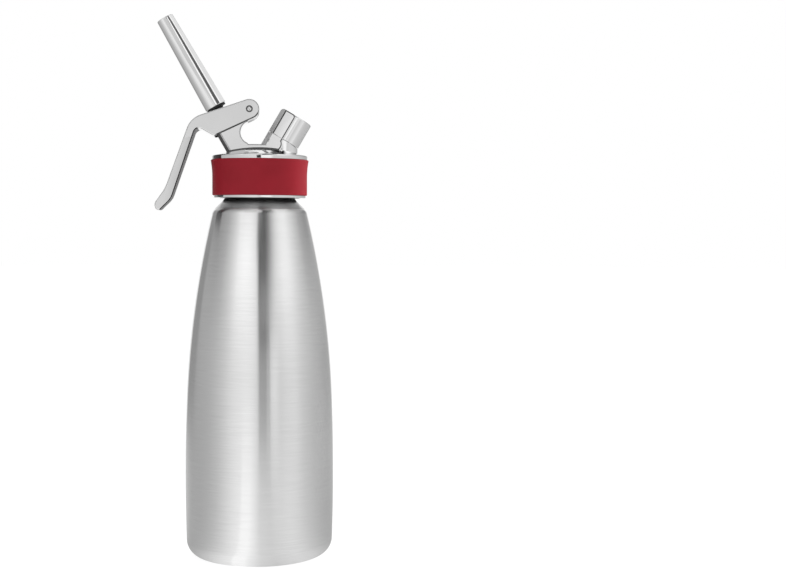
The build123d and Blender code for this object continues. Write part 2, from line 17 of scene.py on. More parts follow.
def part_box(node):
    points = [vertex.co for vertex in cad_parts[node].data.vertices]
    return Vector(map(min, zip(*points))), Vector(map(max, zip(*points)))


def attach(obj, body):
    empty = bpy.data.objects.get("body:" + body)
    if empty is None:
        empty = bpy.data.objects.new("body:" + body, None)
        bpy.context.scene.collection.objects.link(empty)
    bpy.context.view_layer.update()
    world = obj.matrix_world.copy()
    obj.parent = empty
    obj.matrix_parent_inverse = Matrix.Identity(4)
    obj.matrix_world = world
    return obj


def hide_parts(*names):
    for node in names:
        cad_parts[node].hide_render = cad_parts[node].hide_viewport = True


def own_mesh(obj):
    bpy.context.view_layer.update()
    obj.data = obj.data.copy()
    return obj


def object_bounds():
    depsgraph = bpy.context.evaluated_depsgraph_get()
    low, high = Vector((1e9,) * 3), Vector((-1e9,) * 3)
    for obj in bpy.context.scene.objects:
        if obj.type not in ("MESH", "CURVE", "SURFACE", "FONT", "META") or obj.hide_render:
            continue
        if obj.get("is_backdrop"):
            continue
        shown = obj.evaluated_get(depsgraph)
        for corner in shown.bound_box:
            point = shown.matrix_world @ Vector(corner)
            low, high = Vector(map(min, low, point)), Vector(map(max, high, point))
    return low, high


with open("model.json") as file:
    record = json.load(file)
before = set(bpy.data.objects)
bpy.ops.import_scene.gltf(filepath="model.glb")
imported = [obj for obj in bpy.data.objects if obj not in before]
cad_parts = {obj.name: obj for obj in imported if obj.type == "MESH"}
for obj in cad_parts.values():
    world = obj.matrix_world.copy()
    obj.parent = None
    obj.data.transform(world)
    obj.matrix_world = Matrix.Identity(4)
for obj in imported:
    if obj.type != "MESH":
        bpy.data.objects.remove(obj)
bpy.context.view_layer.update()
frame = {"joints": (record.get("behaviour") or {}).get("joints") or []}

# %% [markdown]
# ## Where things are
# Sizes below are millimetres. The valve and the charger port each have an axis of their own, which
# leans 30 degrees from the upright. The frame's joints know both axes, so they are read from there.
# A matrix for each axis lets a piece be drawn upright at the origin and then be put in its place.

# %% The two leaning axes
MM = 0.001
joints = {joint["name"]: joint for joint in frame["joints"]}
RIM_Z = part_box("bottle")[1].z / MM


def leaning(axis, height):
    """Matrix of a frame whose Z is the axis, whose Y stays level, and whose middle is on the bottle's."""
    z = Vector(axis).normalized()
    y = Vector((0, 1, 0))
    turn = Matrix((y.cross(z), y, z)).transposed()
    return Matrix.Translation((0, 0, height)) @ turn.to_4x4()


VALVE = leaning(-Vector(joints["valve_slide"]["axis"]), RIM_Z - 10.4)
PORT = leaning(joints["cap_pull"]["axis"], RIM_Z - 8.8)
UPRIGHT = Matrix.Identity(4)
PIVOT = Vector(joints["lever_press"]["pos_m"]) / MM
print("valve leans", round(math.degrees(VALVE.to_quaternion().angle), 1), "degrees, pin at", PIVOT)

# %% [markdown]
# ## Drawing outlines
# Most pieces are turned on a lathe or pressed on a round tool, so they start as half an outline.
# Corners are rarely sharp on a real piece: a small radius is what catches a line of light. So an
# outline is a list of corners, each with its own radius, and one helper rounds them. A second helper
# follows an arc from a heading, as a bending tool does, for the long curves of the bottle.

# %% Outline helpers
ARC_STEP = math.radians(9)


def round_corners(corners, closed=True):
    """Points of an outline whose (x, z, radius) corners are rounded."""
    points = []
    for i, (x, z, radius) in enumerate(corners):
        here = Vector((x, z))
        at_end = not closed and i in (0, len(corners) - 1)
        if radius == 0 or at_end:
            points.append((x, z))
            continue
        before = (Vector(corners[i - 1][:2]) - here).normalized()
        after = (Vector(corners[(i + 1) % len(corners)][:2]) - here).normalized()
        half = before.angle(after) / 2
        centre = here + (before + after).normalized() * (radius / math.sin(half))
        start = here + before * (radius / math.tan(half)) - centre
        sweep = start.angle_signed(here + after * (radius / math.tan(half)) - centre)
        count = max(2, math.ceil(abs(sweep) / ARC_STEP))
        for k in range(count + 1):
            spoke = start.copy()
            spoke.rotate(Matrix.Rotation(-sweep * k / count, 2))
            points.append(tuple(centre + spoke))
    return points


def arc(start, heading, radius, turn, count):
    """Points of an arc that leaves start on a heading, in degrees, and its last heading."""
    points = []
    for k in range(1, count + 1):
        half = math.radians(turn) * k / count / 2
        reach = 2 * radius * math.sin(abs(half))
        toward = math.radians(heading) + half
        points.append((start[0] + reach * math.cos(toward), start[1] + reach * math.sin(toward)))
    return points, heading + turn


def arc_to(start, heading, end, count):
    """Points of the arc that leaves start on a heading and comes through end."""
    chord = Vector(end) - Vector(start)
    half = math.degrees(math.atan2(chord.y, chord.x)) - heading
    radius = chord.length / 2 / math.sin(math.radians(abs(half)))
    return arc(start, heading, radius, 2 * half, count)


print("a corner of radius 1 mm becomes", len(round_corners([(0, 0, 1), (9, 0, 1), (0, 9, 1)])) // 3, "points")

# %% [markdown]
# ## From outline to piece
# `turn` spins an outline about an axis. `plate` fills an outline and extrudes it sideways, for the
# flat-sided castings. `join` and `cut` are boolean operations, the way a casting gets its bosses and
# its bores. `finish_piece` welds doubles, makes the faces look outward, scales millimetres to metres,
# marks sharp edges, gives the finish, and tells the frame which body the piece moves with. It can also
# lay painted shade on faces: a darker colour in creases and gaps, and on edges that should mirror dark.

# %% Modelling helpers
TINY = 0.08


def turn(outline, place=UPRIGHT, steps=96, closed=True):
    """A bmesh turned about the place's Z from an outline of (radius, height) points."""
    bm = bmesh.new()
    verts = [bm.verts.new((radius, 0, height)) for radius, height in outline]
    ends = verts[1:] + verts[:1] if closed else verts[1:]
    edges = [bm.edges.new(pair) for pair in zip(verts, ends)]
    bmesh.ops.spin(
        bm, geom=verts + edges, cent=(0, 0, 0), axis=(0, 0, 1), dvec=(0, 0, 0),
        angle=2 * math.pi, steps=steps, use_merge=True, use_duplicate=False,
    )
    return clean(bm, place)


def plate(outline, width):
    """A bmesh of an outline in X and Z, extruded to the width and centred on Y = 0."""
    bm = bmesh.new()
    face = bm.faces.new([bm.verts.new((x, -width / 2, z)) for x, z in outline])
    grown = bmesh.ops.extrude_face_region(bm, geom=[face])["geom"]
    moved = [part for part in grown if isinstance(part, bmesh.types.BMVert)]
    bmesh.ops.translate(bm, vec=(0, width, 0), verts=moved)
    return clean(bm)


def clean(bm, place=UPRIGHT):
    """Welds doubles, drops empty faces, makes the faces look outward, and moves the mesh to its place."""
    bmesh.ops.remove_doubles(bm, verts=bm.verts, dist=1e-4)
    bmesh.ops.dissolve_degenerate(bm, edges=bm.edges, dist=1e-5)
    bmesh.ops.recalc_face_normals(bm, faces=bm.faces)
    bmesh.ops.transform(bm, matrix=place, verts=bm.verts)
    return bm


def soften(bm, width, segments=3, sharper=30, chosen=None, clamp=True):
    """Bevels the edges that turn by more than an angle, or only those that chosen(edge) picks.

    Tiny edges left by a boolean would hold the bevel's width back, so they are merged first.
    """
    bmesh.ops.remove_doubles(bm, verts=bm.verts, dist=TINY)
    bmesh.ops.dissolve_degenerate(bm, edges=bm.edges, dist=TINY / 10)
    edges = [e for e in bm.edges if e.is_manifold and e.calc_face_angle() > math.radians(sharper)]
    if chosen:
        edges = [e for e in edges if chosen(e)]
    bmesh.ops.bevel(
        bm, geom=edges, offset=width, offset_type="OFFSET", segments=segments, profile=0.5,
        affect="EDGES", clamp_overlap=clamp, material=-1,
    )
    return bm


def combine(base, tools, operation):
    """One bmesh from a base and other closed bmeshes, by a boolean operation."""
    owners = []
    for bm in [base, *tools]:
        mesh = bpy.data.meshes.new("blank")
        bm.to_mesh(mesh)
        bm.free()
        owners.append(bpy.data.objects.new("blank", mesh))
        bpy.context.scene.collection.objects.link(owners[-1])
    for tool in owners[1:]:
        step = owners[0].modifiers.new("step", "BOOLEAN")
        step.operation = operation
        step.solver = "EXACT"
        step.object = tool
    result = bmesh.new()
    result.from_object(owners[0], bpy.context.evaluated_depsgraph_get())
    for owner in owners:
        mesh = owner.data
        bpy.data.objects.remove(owner)
        bpy.data.meshes.remove(mesh)
    bmesh.ops.dissolve_degenerate(result, edges=result.edges, dist=1e-5)
    return result


def join(base, *tools):
    return combine(base, tools, "UNION")


def cut(base, *tools):
    return combine(base, tools, "DIFFERENCE")


def finish_piece(name, bm, body, finish, sharp=35, replaces=(), painted_shade=None):
    """Makes the object of a bmesh, at the origin. The last argument, from a face's normal and middle, says how much
    painted shade the face gets.
    """
    if painted_shade:
        bm.normal_update()
        # Painted shade: a face layer that darkens the base colour of the faces it marks.
        depth = bm.faces.layers.float.new("painted_shade")
        for face in bm.faces:
            face[depth] = painted_shade(face.normal, face.calc_center_median())
    bmesh.ops.scale(bm, vec=(MM, MM, MM), verts=bm.verts)
    mesh = bpy.data.meshes.new(name)
    bm.to_mesh(mesh)
    faces = len(bm.faces)
    bm.free()
    for polygon in mesh.polygons:
        polygon.use_smooth = True
    mesh.set_sharp_from_angle(angle=math.radians(sharp))
    mesh.materials.append(finish)
    piece = bpy.data.objects.new(name, mesh)
    bpy.context.scene.collection.objects.link(piece)
    level = piece.modifiers.new("flat_stays_flat", "WEIGHTED_NORMAL")
    level.keep_sharp = True
    level.weight = 100
    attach(piece, body)
    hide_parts(*(replaces or [name.removesuffix("_piece")]))
    size = [round(side / MM, 1) for side in piece.dimensions]
    print(f"{name}: {faces} faces, {size} mm")
    return piece


# %% [markdown]
# ## Screw threads
# A rolled thread is a wave that climbs as it goes round. Instead of a separate ridge, the wall is
# turned with many rows, and each point is pushed out or in by a cosine of its height less the climb
# at its angle. The wave fades at both ends, as a rolled thread runs out.

# %% Thread helper
def roll_thread(bm, low, high, pitch, depth, inside=1e9, outside=0):
    """Cuts a wave of the depth into the wall between two heights, in the turned piece's own frame."""
    for vert in bm.verts:
        x, y, z = vert.co
        radius = math.hypot(x, y)
        if not (low < z < high and outside < radius < inside):
            continue
        angle = math.atan2(y, x) / (2 * math.pi)
        wave = 0.5 - 0.5 * math.cos(2 * math.pi * (z / pitch - angle))
        fade = min(1, (z - low) / pitch, (high - z) / pitch)
        scale = 1 + depth * wave * fade / radius
        vert.co.x, vert.co.y = x * scale, y * scale


def rows(radius, low, high, spacing):
    """Points up a straight wall, close enough together to carry a thread."""
    count = math.ceil(abs(high - low) / spacing)
    return [(radius, low + (high - low) * k / count) for k in range(count + 1)]


print("a thread of 11 mm at 0.25 mm rows has", len(rows(25.6, 238, 249, 0.25)), "rows")

# %% [markdown]
# ## Steel finishes
# All the steel here is one metal with different surfaces, so one function makes them. The metal has
# a nearly white base colour, and what tells the finishes apart is how rough it is and what fine marks
# it carries. Noise that is stretched along a direction gives brushing; a second, large and faint
# noise varies the roughness, as handling does.

# %% Node helpers
def new_finish(name, colour, metallic, roughness, **constants):
    """A material with its shader, and the node tree to add marks to."""
    finish = bpy.data.materials.new(name)
    finish.use_nodes = True
    tree = finish.node_tree
    shader = tree.nodes["Principled BSDF"]
    shader.inputs["Base Color"].default_value = (*colour, 1)
    shader.inputs["Metallic"].default_value = metallic
    shader.inputs["Roughness"].default_value = roughness
    for socket, value in constants.items():
        shader.inputs[socket.replace("_", " ")].default_value = value
    return finish, tree, shader


def noise(tree, source, scale, stretch=(1, 1, 1), turn_y=0.0, detail=3.0):
    """Noise on the object's own coordinates, stretched and turned about Y by a Mapping node."""
    mapping = tree.nodes.new("ShaderNodeMapping")
    mapping.inputs["Rotation"].default_value = (0, turn_y, 0)
    mapping.inputs["Scale"].default_value = stretch
    texture = tree.nodes.new("ShaderNodeTexNoise")
    texture.inputs["Scale"].default_value = scale
    texture.inputs["Detail"].default_value = detail
    tree.links.new(source, mapping.inputs["Vector"])
    tree.links.new(mapping.outputs["Vector"], texture.inputs["Vector"])
    return texture.outputs["Fac"]


def spread(tree, value, low, high):
    """A noise value mapped to a range."""
    node = tree.nodes.new("ShaderNodeMapRange")
    node.inputs["From Min"].default_value = 0.3
    node.inputs["From Max"].default_value = 0.7
    node.inputs["To Min"].default_value = low
    node.inputs["To Max"].default_value = high
    tree.links.new(value, node.inputs["Value"])
    return node.outputs["Result"]


def maths(tree, operation, a, b=0.0):
    """A Math node on sockets or numbers."""
    node = tree.nodes.new("ShaderNodeMath")
    node.operation = operation
    for slot, value in zip(node.inputs, (a, b)):
        if isinstance(value, (int, float)):
            slot.default_value = value
        else:
            tree.links.new(value, slot)
    return node.outputs[0]


def object_coordinates(tree):
    return tree.nodes.new("ShaderNodeTexCoord").outputs["Object"]


def add_bump(tree, shader, height, strength, distance):
    bump = tree.nodes.new("ShaderNodeBump")
    bump.inputs["Strength"].default_value = strength
    bump.inputs["Distance"].default_value = distance
    tree.links.new(height, bump.inputs["Height"])
    tree.links.new(bump.outputs["Normal"], shader.inputs["Normal"])


PAINTED_SHADE_GREY = 0.02  # grey of the painted shade


def tint(tree, shader, value, dark, light, painted_shade_part=False):
    """Mixes two near colours by a noise value into the base colour, and darkens the faces marked for painted shade.
    """
    mix = tree.nodes.new("ShaderNodeMix")
    mix.data_type = "RGBA"
    mix.inputs["A"].default_value = (*dark, 1)
    mix.inputs["B"].default_value = (*light, 1)
    tree.links.new(value, mix.inputs["Factor"])
    colour = mix.outputs["Result"]
    # Painted shade: marked faces are mixed toward a dark grey.
    if painted_shade_part:
        mark = tree.nodes.new("ShaderNodeAttribute")
        mark.attribute_name = "painted_shade"
        mix = tree.nodes.new("ShaderNodeMix")
        mix.data_type = "RGBA"
        mix.inputs["B"].default_value = (PAINTED_SHADE_GREY, PAINTED_SHADE_GREY, PAINTED_SHADE_GREY, 1)
        tree.links.new(mark.outputs["Fac"], mix.inputs["Factor"])
        tree.links.new(colour, mix.inputs["A"])
        colour = mix.outputs["Result"]
    tree.links.new(colour, shader.inputs["Base Color"])


# %% [markdown]
# ## Brushed bottle steel
# The bottle turned against a brush, so its marks run round it. Round marks spread a reflection up and
# down, and that is why lamps show on it as soft upright bands. An anisotropic shader with a radial
# tangent does that spreading, and fine noise, very close-set in height, draws the marks.

# %% Brushed finish
def brushed_steel(name, grey, roughness, axis_turn=0.0, anisotropy=0.75, marks=2600):
    finish, tree, shader = new_finish(
        name, (grey, grey, grey), 1, roughness, Anisotropic=anisotropy, Anisotropic_Rotation=0.25)
    where = object_coordinates(tree)
    lines = noise(tree, where, 1, (60, 60, marks), axis_turn, detail=4)
    cloud = noise(tree, where, 22, detail=2)
    # The painted shade on the bottle's neck is mixed into the colour here.
    tint(tree, shader, spread(tree, lines, 0, 1), (grey * 0.96,) * 3, (min(1, grey * 1.03),) * 3, painted_shade_part=True)
    tree.links.new(spread(tree, cloud, roughness * 0.9, roughness * 1.15), shader.inputs["Roughness"])
    add_bump(tree, shader, lines, 0.004, 0.00004)
    tangent = tree.nodes.new("ShaderNodeTangent")
    tangent.direction_type = "RADIAL"
    tangent.axis = "Z"
    tree.links.new(tangent.outputs["Tangent"], shader.inputs["Tangent"])
    return finish


bottle_steel = brushed_steel("bottle_steel", 0.78, 0.2, anisotropy=0.97)
print("finish", bottle_steel.name, len(bottle_steel.node_tree.nodes), "nodes")

# %% [markdown]
# ## Polished and cast steel
# The head is polished until it mirrors the room, yet a polish leaves faint waves and wiping marks. The
# lever and the post's flat sides are cast steel that was tumbled: a little rougher, with a fine grain.

# %% Polished finishes
def polished_steel(name, grey, roughness, grain, strength, turn_y=0.0, stretch=(1, 1, 1)):
    finish, tree, shader = new_finish(name, (grey, grey, grey), 1, roughness)
    where = object_coordinates(tree)
    marks = noise(tree, where, grain, stretch, turn_y)
    cloud = noise(tree, where, 35, detail=2)
    tint(tree, shader, spread(tree, cloud, 0, 1), (grey * 0.96,) * 3, (min(1, grey * 1.03),) * 3, painted_shade_part=True)
    # Painted shade: marked faces get a dark base colour and a higher roughness.
    mark = tree.nodes.new("ShaderNodeAttribute")
    mark.attribute_name = "painted_shade"
    painted_shade_part = maths(tree, "MINIMUM", maths(tree, "MULTIPLY", mark.outputs["Fac"], 4), 0.5)
    polish = spread(tree, cloud, roughness * 0.8, roughness * 1.25)
    tree.links.new(maths(tree, "MAXIMUM", polish, painted_shade_part), shader.inputs["Roughness"])
    add_bump(tree, shader, marks, strength, 0.00003)
    return finish


head_steel = polished_steel("head_steel", 0.84, 0.07, 900, 0.06)
lever_steel = polished_steel("lever_steel", 0.80, 0.06, 2600, 0.02)
tube_steel = polished_steel("tube_steel", 0.86, 0.10, 1, 0.10, math.radians(30), (900, 900, 40))
turned_steel = polished_steel("lathe_steel", 0.72, 0.22, 1, 0.15, math.radians(30), (80, 80, 3000))
spring_steel = polished_steel("drawn_steel", 0.62, 0.26, 1800, 0.10)
print("polished finishes:", [m.name for m in bpy.data.materials if m.name.endswith("_steel")])

# %% [markdown]
# ## Silicone and rubber
# Silicone is matt with a very fine, even bloom. Its red is deep, and slightly lighter where the bloom
# is thicker. The black seals are softer looking still.

# %% Rubber finishes
def rubber(name, dark, light, roughness, specular):
    finish, tree, shader = new_finish(name, light, 0, roughness, Specular_IOR_Level=specular)
    where = object_coordinates(tree)
    bloom = noise(tree, where, 60, detail=4)
    grain = noise(tree, where, 3500, detail=2)
    tint(tree, shader, spread(tree, bloom, 0, 1), dark, light)
    tree.links.new(spread(tree, bloom, roughness * 0.92, roughness * 1.08), shader.inputs["Roughness"])
    add_bump(tree, shader, grain, 0.2, 0.00005)
    return finish


silicone = rubber("matt_silicone", (0.30, 0.008, 0.018), (0.34, 0.011, 0.023), 0.55, 0.22)
seal_rubber = rubber("seal_rubber", (0.012, 0.012, 0.013), (0.02, 0.02, 0.021), 0.6, 0.4)
print("rubber finishes:", silicone.name, seal_rubber.name)

# %% [markdown]
# ## The bottle
# The bottle is deep-drawn from one sheet. So the script draws only its outside, from the dished base
# round the corner, up the slightly bulged side and the long shoulder to the neck, spins it, rolls the
# neck's thread into it, and only then gives the sheet its thickness, inward.

# %% Bottle outline
SHEET = 1.3
BODY_R, BASE_CORNER_R, FOOT_R, FOOT_DISH = 47.25, 10.8, 30.0, 1.8
SHOULDER_Z, SHOULDER_TOP, SHOULDER_ROLL_R = 100.0, (30.75, RIM_Z - 29.9), 6.0
NECK_R, THREAD_R, THREAD_DEPTH, RIM_R = 22.3, 25.6, 0.9, 24.2
THREAD_LOW, THREAD_HIGH, THREAD_PITCH = RIM_Z - 14, RIM_Z - 3, 3.2

base = round_corners([(0, FOOT_DISH, 0), (FOOT_R, 0, 8), (BODY_R - BASE_CORNER_R, 0, 0)], closed=False)
corner, heading = arc(base[-1], 0, BASE_CORNER_R, 88.2, 14)
side, heading = arc_to(corner[-1], heading, (BODY_R, SHOULDER_Z), 14)
shoulder, heading = arc_to(side[-1], heading, SHOULDER_TOP, 26)
roll, heading = arc(shoulder[-1], heading, SHOULDER_ROLL_R, 135 - heading, 16)
run = roll[-1][0] - NECK_R
throat = round_corners(
    [
        (*roll[-1], 0),
        (NECK_R, roll[-1][1] + run, 1.5),
        (THREAD_R - THREAD_DEPTH, THREAD_LOW - THREAD_DEPTH, 0.8),
        (THREAD_R - THREAD_DEPTH, THREAD_LOW, 0),
    ],
    closed=False,
)
finish_row = rows(THREAD_R - THREAD_DEPTH, THREAD_LOW, THREAD_HIGH, 0.25)
rim = round_corners([(THREAD_R - THREAD_DEPTH, THREAD_HIGH, 0), (RIM_R, RIM_Z - 0.6, 0.8), (RIM_R - SHEET / 2, RIM_Z, 0)], closed=False)
bottle_outline = base + corner + side + shoulder + roll + throat[1:] + finish_row[1:] + rim[1:]
print("bottle outline:", len(bottle_outline), "points, widest", round(max(r for r, _ in bottle_outline), 2))

# %% Bottle mesh
bottle = turn(bottle_outline, steps=144, closed=False)
roll_thread(bottle, THREAD_LOW, THREAD_HIGH, THREAD_PITCH, THREAD_DEPTH - 0.05)
bmesh.ops.solidify(bottle, geom=bottle.faces[:], thickness=SHEET)
ROLL_TOP = RIM_Z - 25.8


def throat_painted_shade(normal, middle):
    """Painted shade: above the roll the bottle is painted darker, for the shade under the head's lip."""
    return min(0.6, max(0, (middle.z - ROLL_TOP) / 5))


finish_piece("bottle_piece", bottle, "bottle", bottle_steel, painted_shade=throat_painted_shade)

# %% [markdown]
# ## The silicone band
# A thick elastic ring that sits in a channel of the head and keeps the hand off cold metal. It is
# straight for its lower half and flares under the flange. One closed outline, turned.

# %% Silicone band
LIP_TOP, FLANGE_Z = RIM_Z - 18.3, RIM_Z + 4.4
SKIRT_R, BAND_R, BAND_TOP_R = 28.9, 30.5, 31.5
flare, _ = arc_to((BAND_R, LIP_TOP + 12), 90, (BAND_TOP_R, FLANGE_Z - 0.35), 10)
band_outline = round_corners([(SKIRT_R, LIP_TOP, 0), (BAND_R, LIP_TOP, 0.6), (BAND_R, LIP_TOP + 12, 0)], closed=False)
band_outline += flare + [(BAND_TOP_R - 0.35, FLANGE_Z), (SKIRT_R, FLANGE_Z)]
finish_piece("silicone_band_piece", turn(band_outline, steps=128), "head", silicone)

# %% [markdown]
# ## The head
# The head is one casting, and it is easiest to build the way a pattern maker would: a turned shell
# with a skirt, flange and dome, a leaning post for the valve, a flat-sided web with a round hollow,
# and a leaning block for the charger port. Each is a simple closed shape with its edges softened
# first. Then they are joined, and the bores are cut last, as on the machine.

# %% Turned shell of the head
LIP_R, FLANGE_R, DOME_R, DOME_H = 29.8, 30.9, 29.0, 4.95
HEAD_FLOOR, FLANGE_TOP = RIM_Z - 20, FLANGE_Z + 2.95
dome, _ = arc_to((0, FLANGE_TOP + DOME_H), 0, (DOME_R, FLANGE_TOP), 24)
shell_outline = round_corners(
    [
        (0, HEAD_FLOOR, 0),
        (LIP_R, HEAD_FLOOR, 0.35),
        (LIP_R, LIP_TOP, 0.35),
        (SKIRT_R, LIP_TOP, 0),
        (SKIRT_R, FLANGE_Z, 0),
        (FLANGE_R, FLANGE_Z, 0.35),
        (FLANGE_R, FLANGE_TOP, 0.9),
        (DOME_R, FLANGE_TOP, 0),
    ],
    closed=False,
)
shell = turn(shell_outline + dome[-2::-1] + [(0, FLANGE_TOP + DOME_H)], steps=144)
print("shell:", len(shell.faces), "faces")

# %% [markdown]
# The post, the web and the port block share their flat sides, 22.8 mm apart. The post and the block
# have large round edges on their outer faces, whose dark strips are a painted reflection in their colour.
# The round hollow between them lets a finger reach round the lever.

# %% Post, web and port block
WEB_W = 22.8
POST_Q, POST_INNER_Q, POST_EDGE = 8.5, 6.0, 2.2
NOTCH = (VALVE @ Vector((11.7, 0, 30.3))).xz
NOTCH_R, EAR_R, EAR_UNDER = 7.3, 5.6, math.radians(24.4)
WEB_TOP = RIM_Z + 14.2
BLOCK_R, BLOCK_FLAT_P, BLOCK_FLAT_END, BLOCK_EDGE, SEAM_S = 10.95, 10.9, 0.7, 2.8, 30.0
BREAK = 0.75  # softened edge of the castings


def bar(low, high, place):
    """A box between two corners, in a leaning frame."""
    bm = bmesh.new()
    bmesh.ops.create_cube(bm, size=1)
    low, high = Vector(low), Vector(high)
    bmesh.ops.scale(bm, vec=high - low, verts=bm.verts)
    bmesh.ops.translate(bm, vec=(low + high) / 2, verts=bm.verts)
    return clean(bm, place)


def along(direction, side, limit):
    """Picks the edges that run along a direction and lie beyond a limit toward a side."""
    def test(edge):
        run = (edge.verts[1].co - edge.verts[0].co).normalized()
        middle = (edge.verts[1].co + edge.verts[0].co) / 2
        return abs(run.dot(direction)) > 0.99 and middle.dot(side) > limit
    return test


valve_up, valve_side = VALVE.col[2].xyz, VALVE.col[0].xyz
port_up, port_side = PORT.col[2].xyz, PORT.col[0].xyz
post = bar((-POST_Q, -WEB_W / 2, 16), (POST_INNER_Q, WEB_W / 2, 44), VALVE)
outer_face = -(VALVE.translation.dot(valve_side)) + POST_Q - 0.1
soften(post, POST_EDGE, 1, chosen=along(valve_up, -valve_side, outer_face))
block = bar((-BLOCK_FLAT_P, -WEB_W / 2, 12), (-BLOCK_FLAT_END, WEB_W / 2, SEAM_S), PORT)
back_face = -(PORT.translation.dot(port_side)) + BLOCK_FLAT_P - 0.1
soften(block, BLOCK_EDGE, 1, chosen=along(port_up, -port_side, back_face))
print("post", len(post.faces), "faces, block", len(block.faces), "faces")


# %% Ear, hollow and web
def circle_points(centre, radius, first, last, step=6):
    """Points of an arc about a centre between two angles in degrees."""
    count = math.ceil(abs(last - first) / step)
    angles = [math.radians(first + (last - first) * k / count) for k in range(count + 1)]
    return [(centre[0] + radius * math.cos(a), centre[1] + radius * math.sin(a)) for a in angles]


def disc(centre, radius, width):
    return plate(circle_points(centre, radius, 0, 354), width)


def side_rim(edge):
    """Picks the flat sides' edges, but not those at the cap's seam, which stay crisp."""
    up = [(PORT_BACK @ vert.co).z - SEAM_S for vert in edge.verts]
    return max(abs(f.normal.y) for f in edge.link_faces) > 0.99 and max(map(abs, up)) > 0.6


PORT_BACK = PORT.inverted()
pin_at = PIVOT.xz
lean = math.radians(30)
ear_low = pin_at + EAR_R * Vector((math.sin(EAR_UNDER), -math.cos(EAR_UNDER)))
ear_run = (ear_low.x - NOTCH.x + 2.9) / math.cos(EAR_UNDER)  # the underside ends over the hollow
neck_outline = [
    *[(VALVE @ Vector(point)).xz for point in ((0, 0, 30.3), (0, 0, 44), (POST_Q, 0, 44))],
    pin_at + EAR_R * Vector((-math.sin(lean), math.cos(lean))),
    pin_at,
    ear_low,
    ear_low - ear_run * Vector((math.cos(EAR_UNDER), math.sin(EAR_UNDER))),
    NOTCH,
]
neck_plate = plate([tuple(point) for point in neck_outline], WEB_W)
web = bar((-10, -WEB_W / 2, WEB_TOP - 8), (10, WEB_W / 2, WEB_TOP), UPRIGHT)
HEEL_R, HEEL_AT = 4.7, (PORT @ Vector((-3.65, 0, 24.9))).xz
sides = join(post, neck_plate, disc(pin_at, EAR_R, WEB_W))
sides = join(cut(sides, disc(NOTCH, NOTCH_R, 60)), web, block, disc(HEEL_AT, HEEL_R, WEB_W))
bmesh.ops.dissolve_limit(sides, angle_limit=math.radians(1), verts=sides.verts, edges=sides.edges)
soften(sides, BREAK, 3, sharper=40, chosen=side_rim, clamp=False)
print("flat sides:", len(sides.faces), "faces")

# %% [markdown]
# Where the flat sides stand on the dome, the pattern has a narrow bead of metal, so that the casting
# doesn't tear there. It follows the dome, so it is the web's foot cut with a raised copy of the dome.

# %% Foot bead
FOOT_PROUD, FOOT_RISE, FOOT_FROM, FOOT_TO = 0.2, 0.7, -19.5, 12.4
raised = turn([(0, FLANGE_TOP), *[(r, z + FOOT_RISE) for r, z in ((DOME_R, FLANGE_TOP), *dome[-2::-1])], (0, FLANGE_TOP + DOME_H + FOOT_RISE)])
footing = bar((FOOT_FROM, -WEB_W / 2 - FOOT_PROUD, FLANGE_TOP + 1), (FOOT_TO, WEB_W / 2 + FOOT_PROUD, FLANGE_TOP + 8), UPRIGHT)
foot = combine(footing, [raised], "INTERSECT")
print("foot bead:", len(foot.faces), "faces")

# %% [markdown]
# Under the charger port the block is a plain round barrel with an upright skirt down to the dome. On
# top of it stands the threaded stub that takes a charger holder, which the cap covers.

# %% Barrel and threaded stub
STUB_R, STUB_TOP, STUB_DEPTH, STUB_PITCH = 9.4, 41.5, 0.7, 1.6
SEAM_BREAK = 0.15
barrel = turn(round_corners([(0, 12, 0), (BLOCK_R, 12, 0), (BLOCK_R, SEAM_S, SEAM_BREAK), (0, SEAM_S, 0)]), PORT)
skirt = bmesh.new()
mouth = bmesh.ops.create_circle(skirt, cap_ends=True, radius=BLOCK_R - 0.02, segments=96)["verts"]
bmesh.ops.transform(skirt, matrix=PORT @ Matrix.Translation((0, 0, SEAM_S - 0.2)), verts=mouth)
dropped = bmesh.ops.extrude_face_region(skirt, geom=skirt.faces[:])["geom"]
bmesh.ops.translate(skirt, vec=(0, 0, -8), verts=[v for v in dropped if isinstance(v, bmesh.types.BMVert)])
clean(skirt)
stub_wall = rows(STUB_R - STUB_DEPTH, SEAM_S + 1, STUB_TOP - 1, 0.2)
stub = turn([(0, SEAM_S - 2), (STUB_R - STUB_DEPTH, SEAM_S - 2), *stub_wall, (STUB_R - 1.2, STUB_TOP), (0, STUB_TOP)])
roll_thread(stub, SEAM_S + 1.2, STUB_TOP - 1.1, STUB_PITCH, STUB_DEPTH - 0.02, outside=1)
bmesh.ops.transform(stub, matrix=PORT, verts=stub.verts)
print("barrel", len(barrel.faces), "skirt", len(skirt.faces), "stub", len(stub.faces))

# %% [markdown]
# The bores are turned tools, drawn as what the drill takes away. The one under the bottle's rim is
# threaded: its wall carries the same wave as the bottle's neck, pushed outward into the casting.

# %% Bores of the head
BORE_R, GASKET_TOP, HOLLOW_R, CEILING = 26.0, RIM_Z + 2.5, 20.5, RIM_Z + 5.5
bore_wall = rows(BORE_R, HEAD_FLOOR + 2, RIM_Z - 1, 0.25)
bore = turn([(0, HEAD_FLOOR - 1), (BORE_R, HEAD_FLOOR - 1), *bore_wall, (BORE_R, GASKET_TOP),
             (HOLLOW_R, GASKET_TOP), (HOLLOW_R, CEILING), (0, CEILING)])
roll_thread(bore, HEAD_FLOOR + 3, RIM_Z - 1, THREAD_PITCH, THREAD_DEPTH, outside=BORE_R - 0.1)
SEAT_S, GLAND_TOP, GLAND_R, STEM_R, STEM_RUN, SPRING_S, SPRING_ROOM_R = 13.5, 23.4, 4.6, 3.0, 0.08, 36.0, 5.2
boss = turn(round_corners([(0, SEAT_S, 0), (8, SEAT_S, 0.4), (8, GLAND_TOP, 0), (0, GLAND_TOP, 0)]), VALVE, 64)
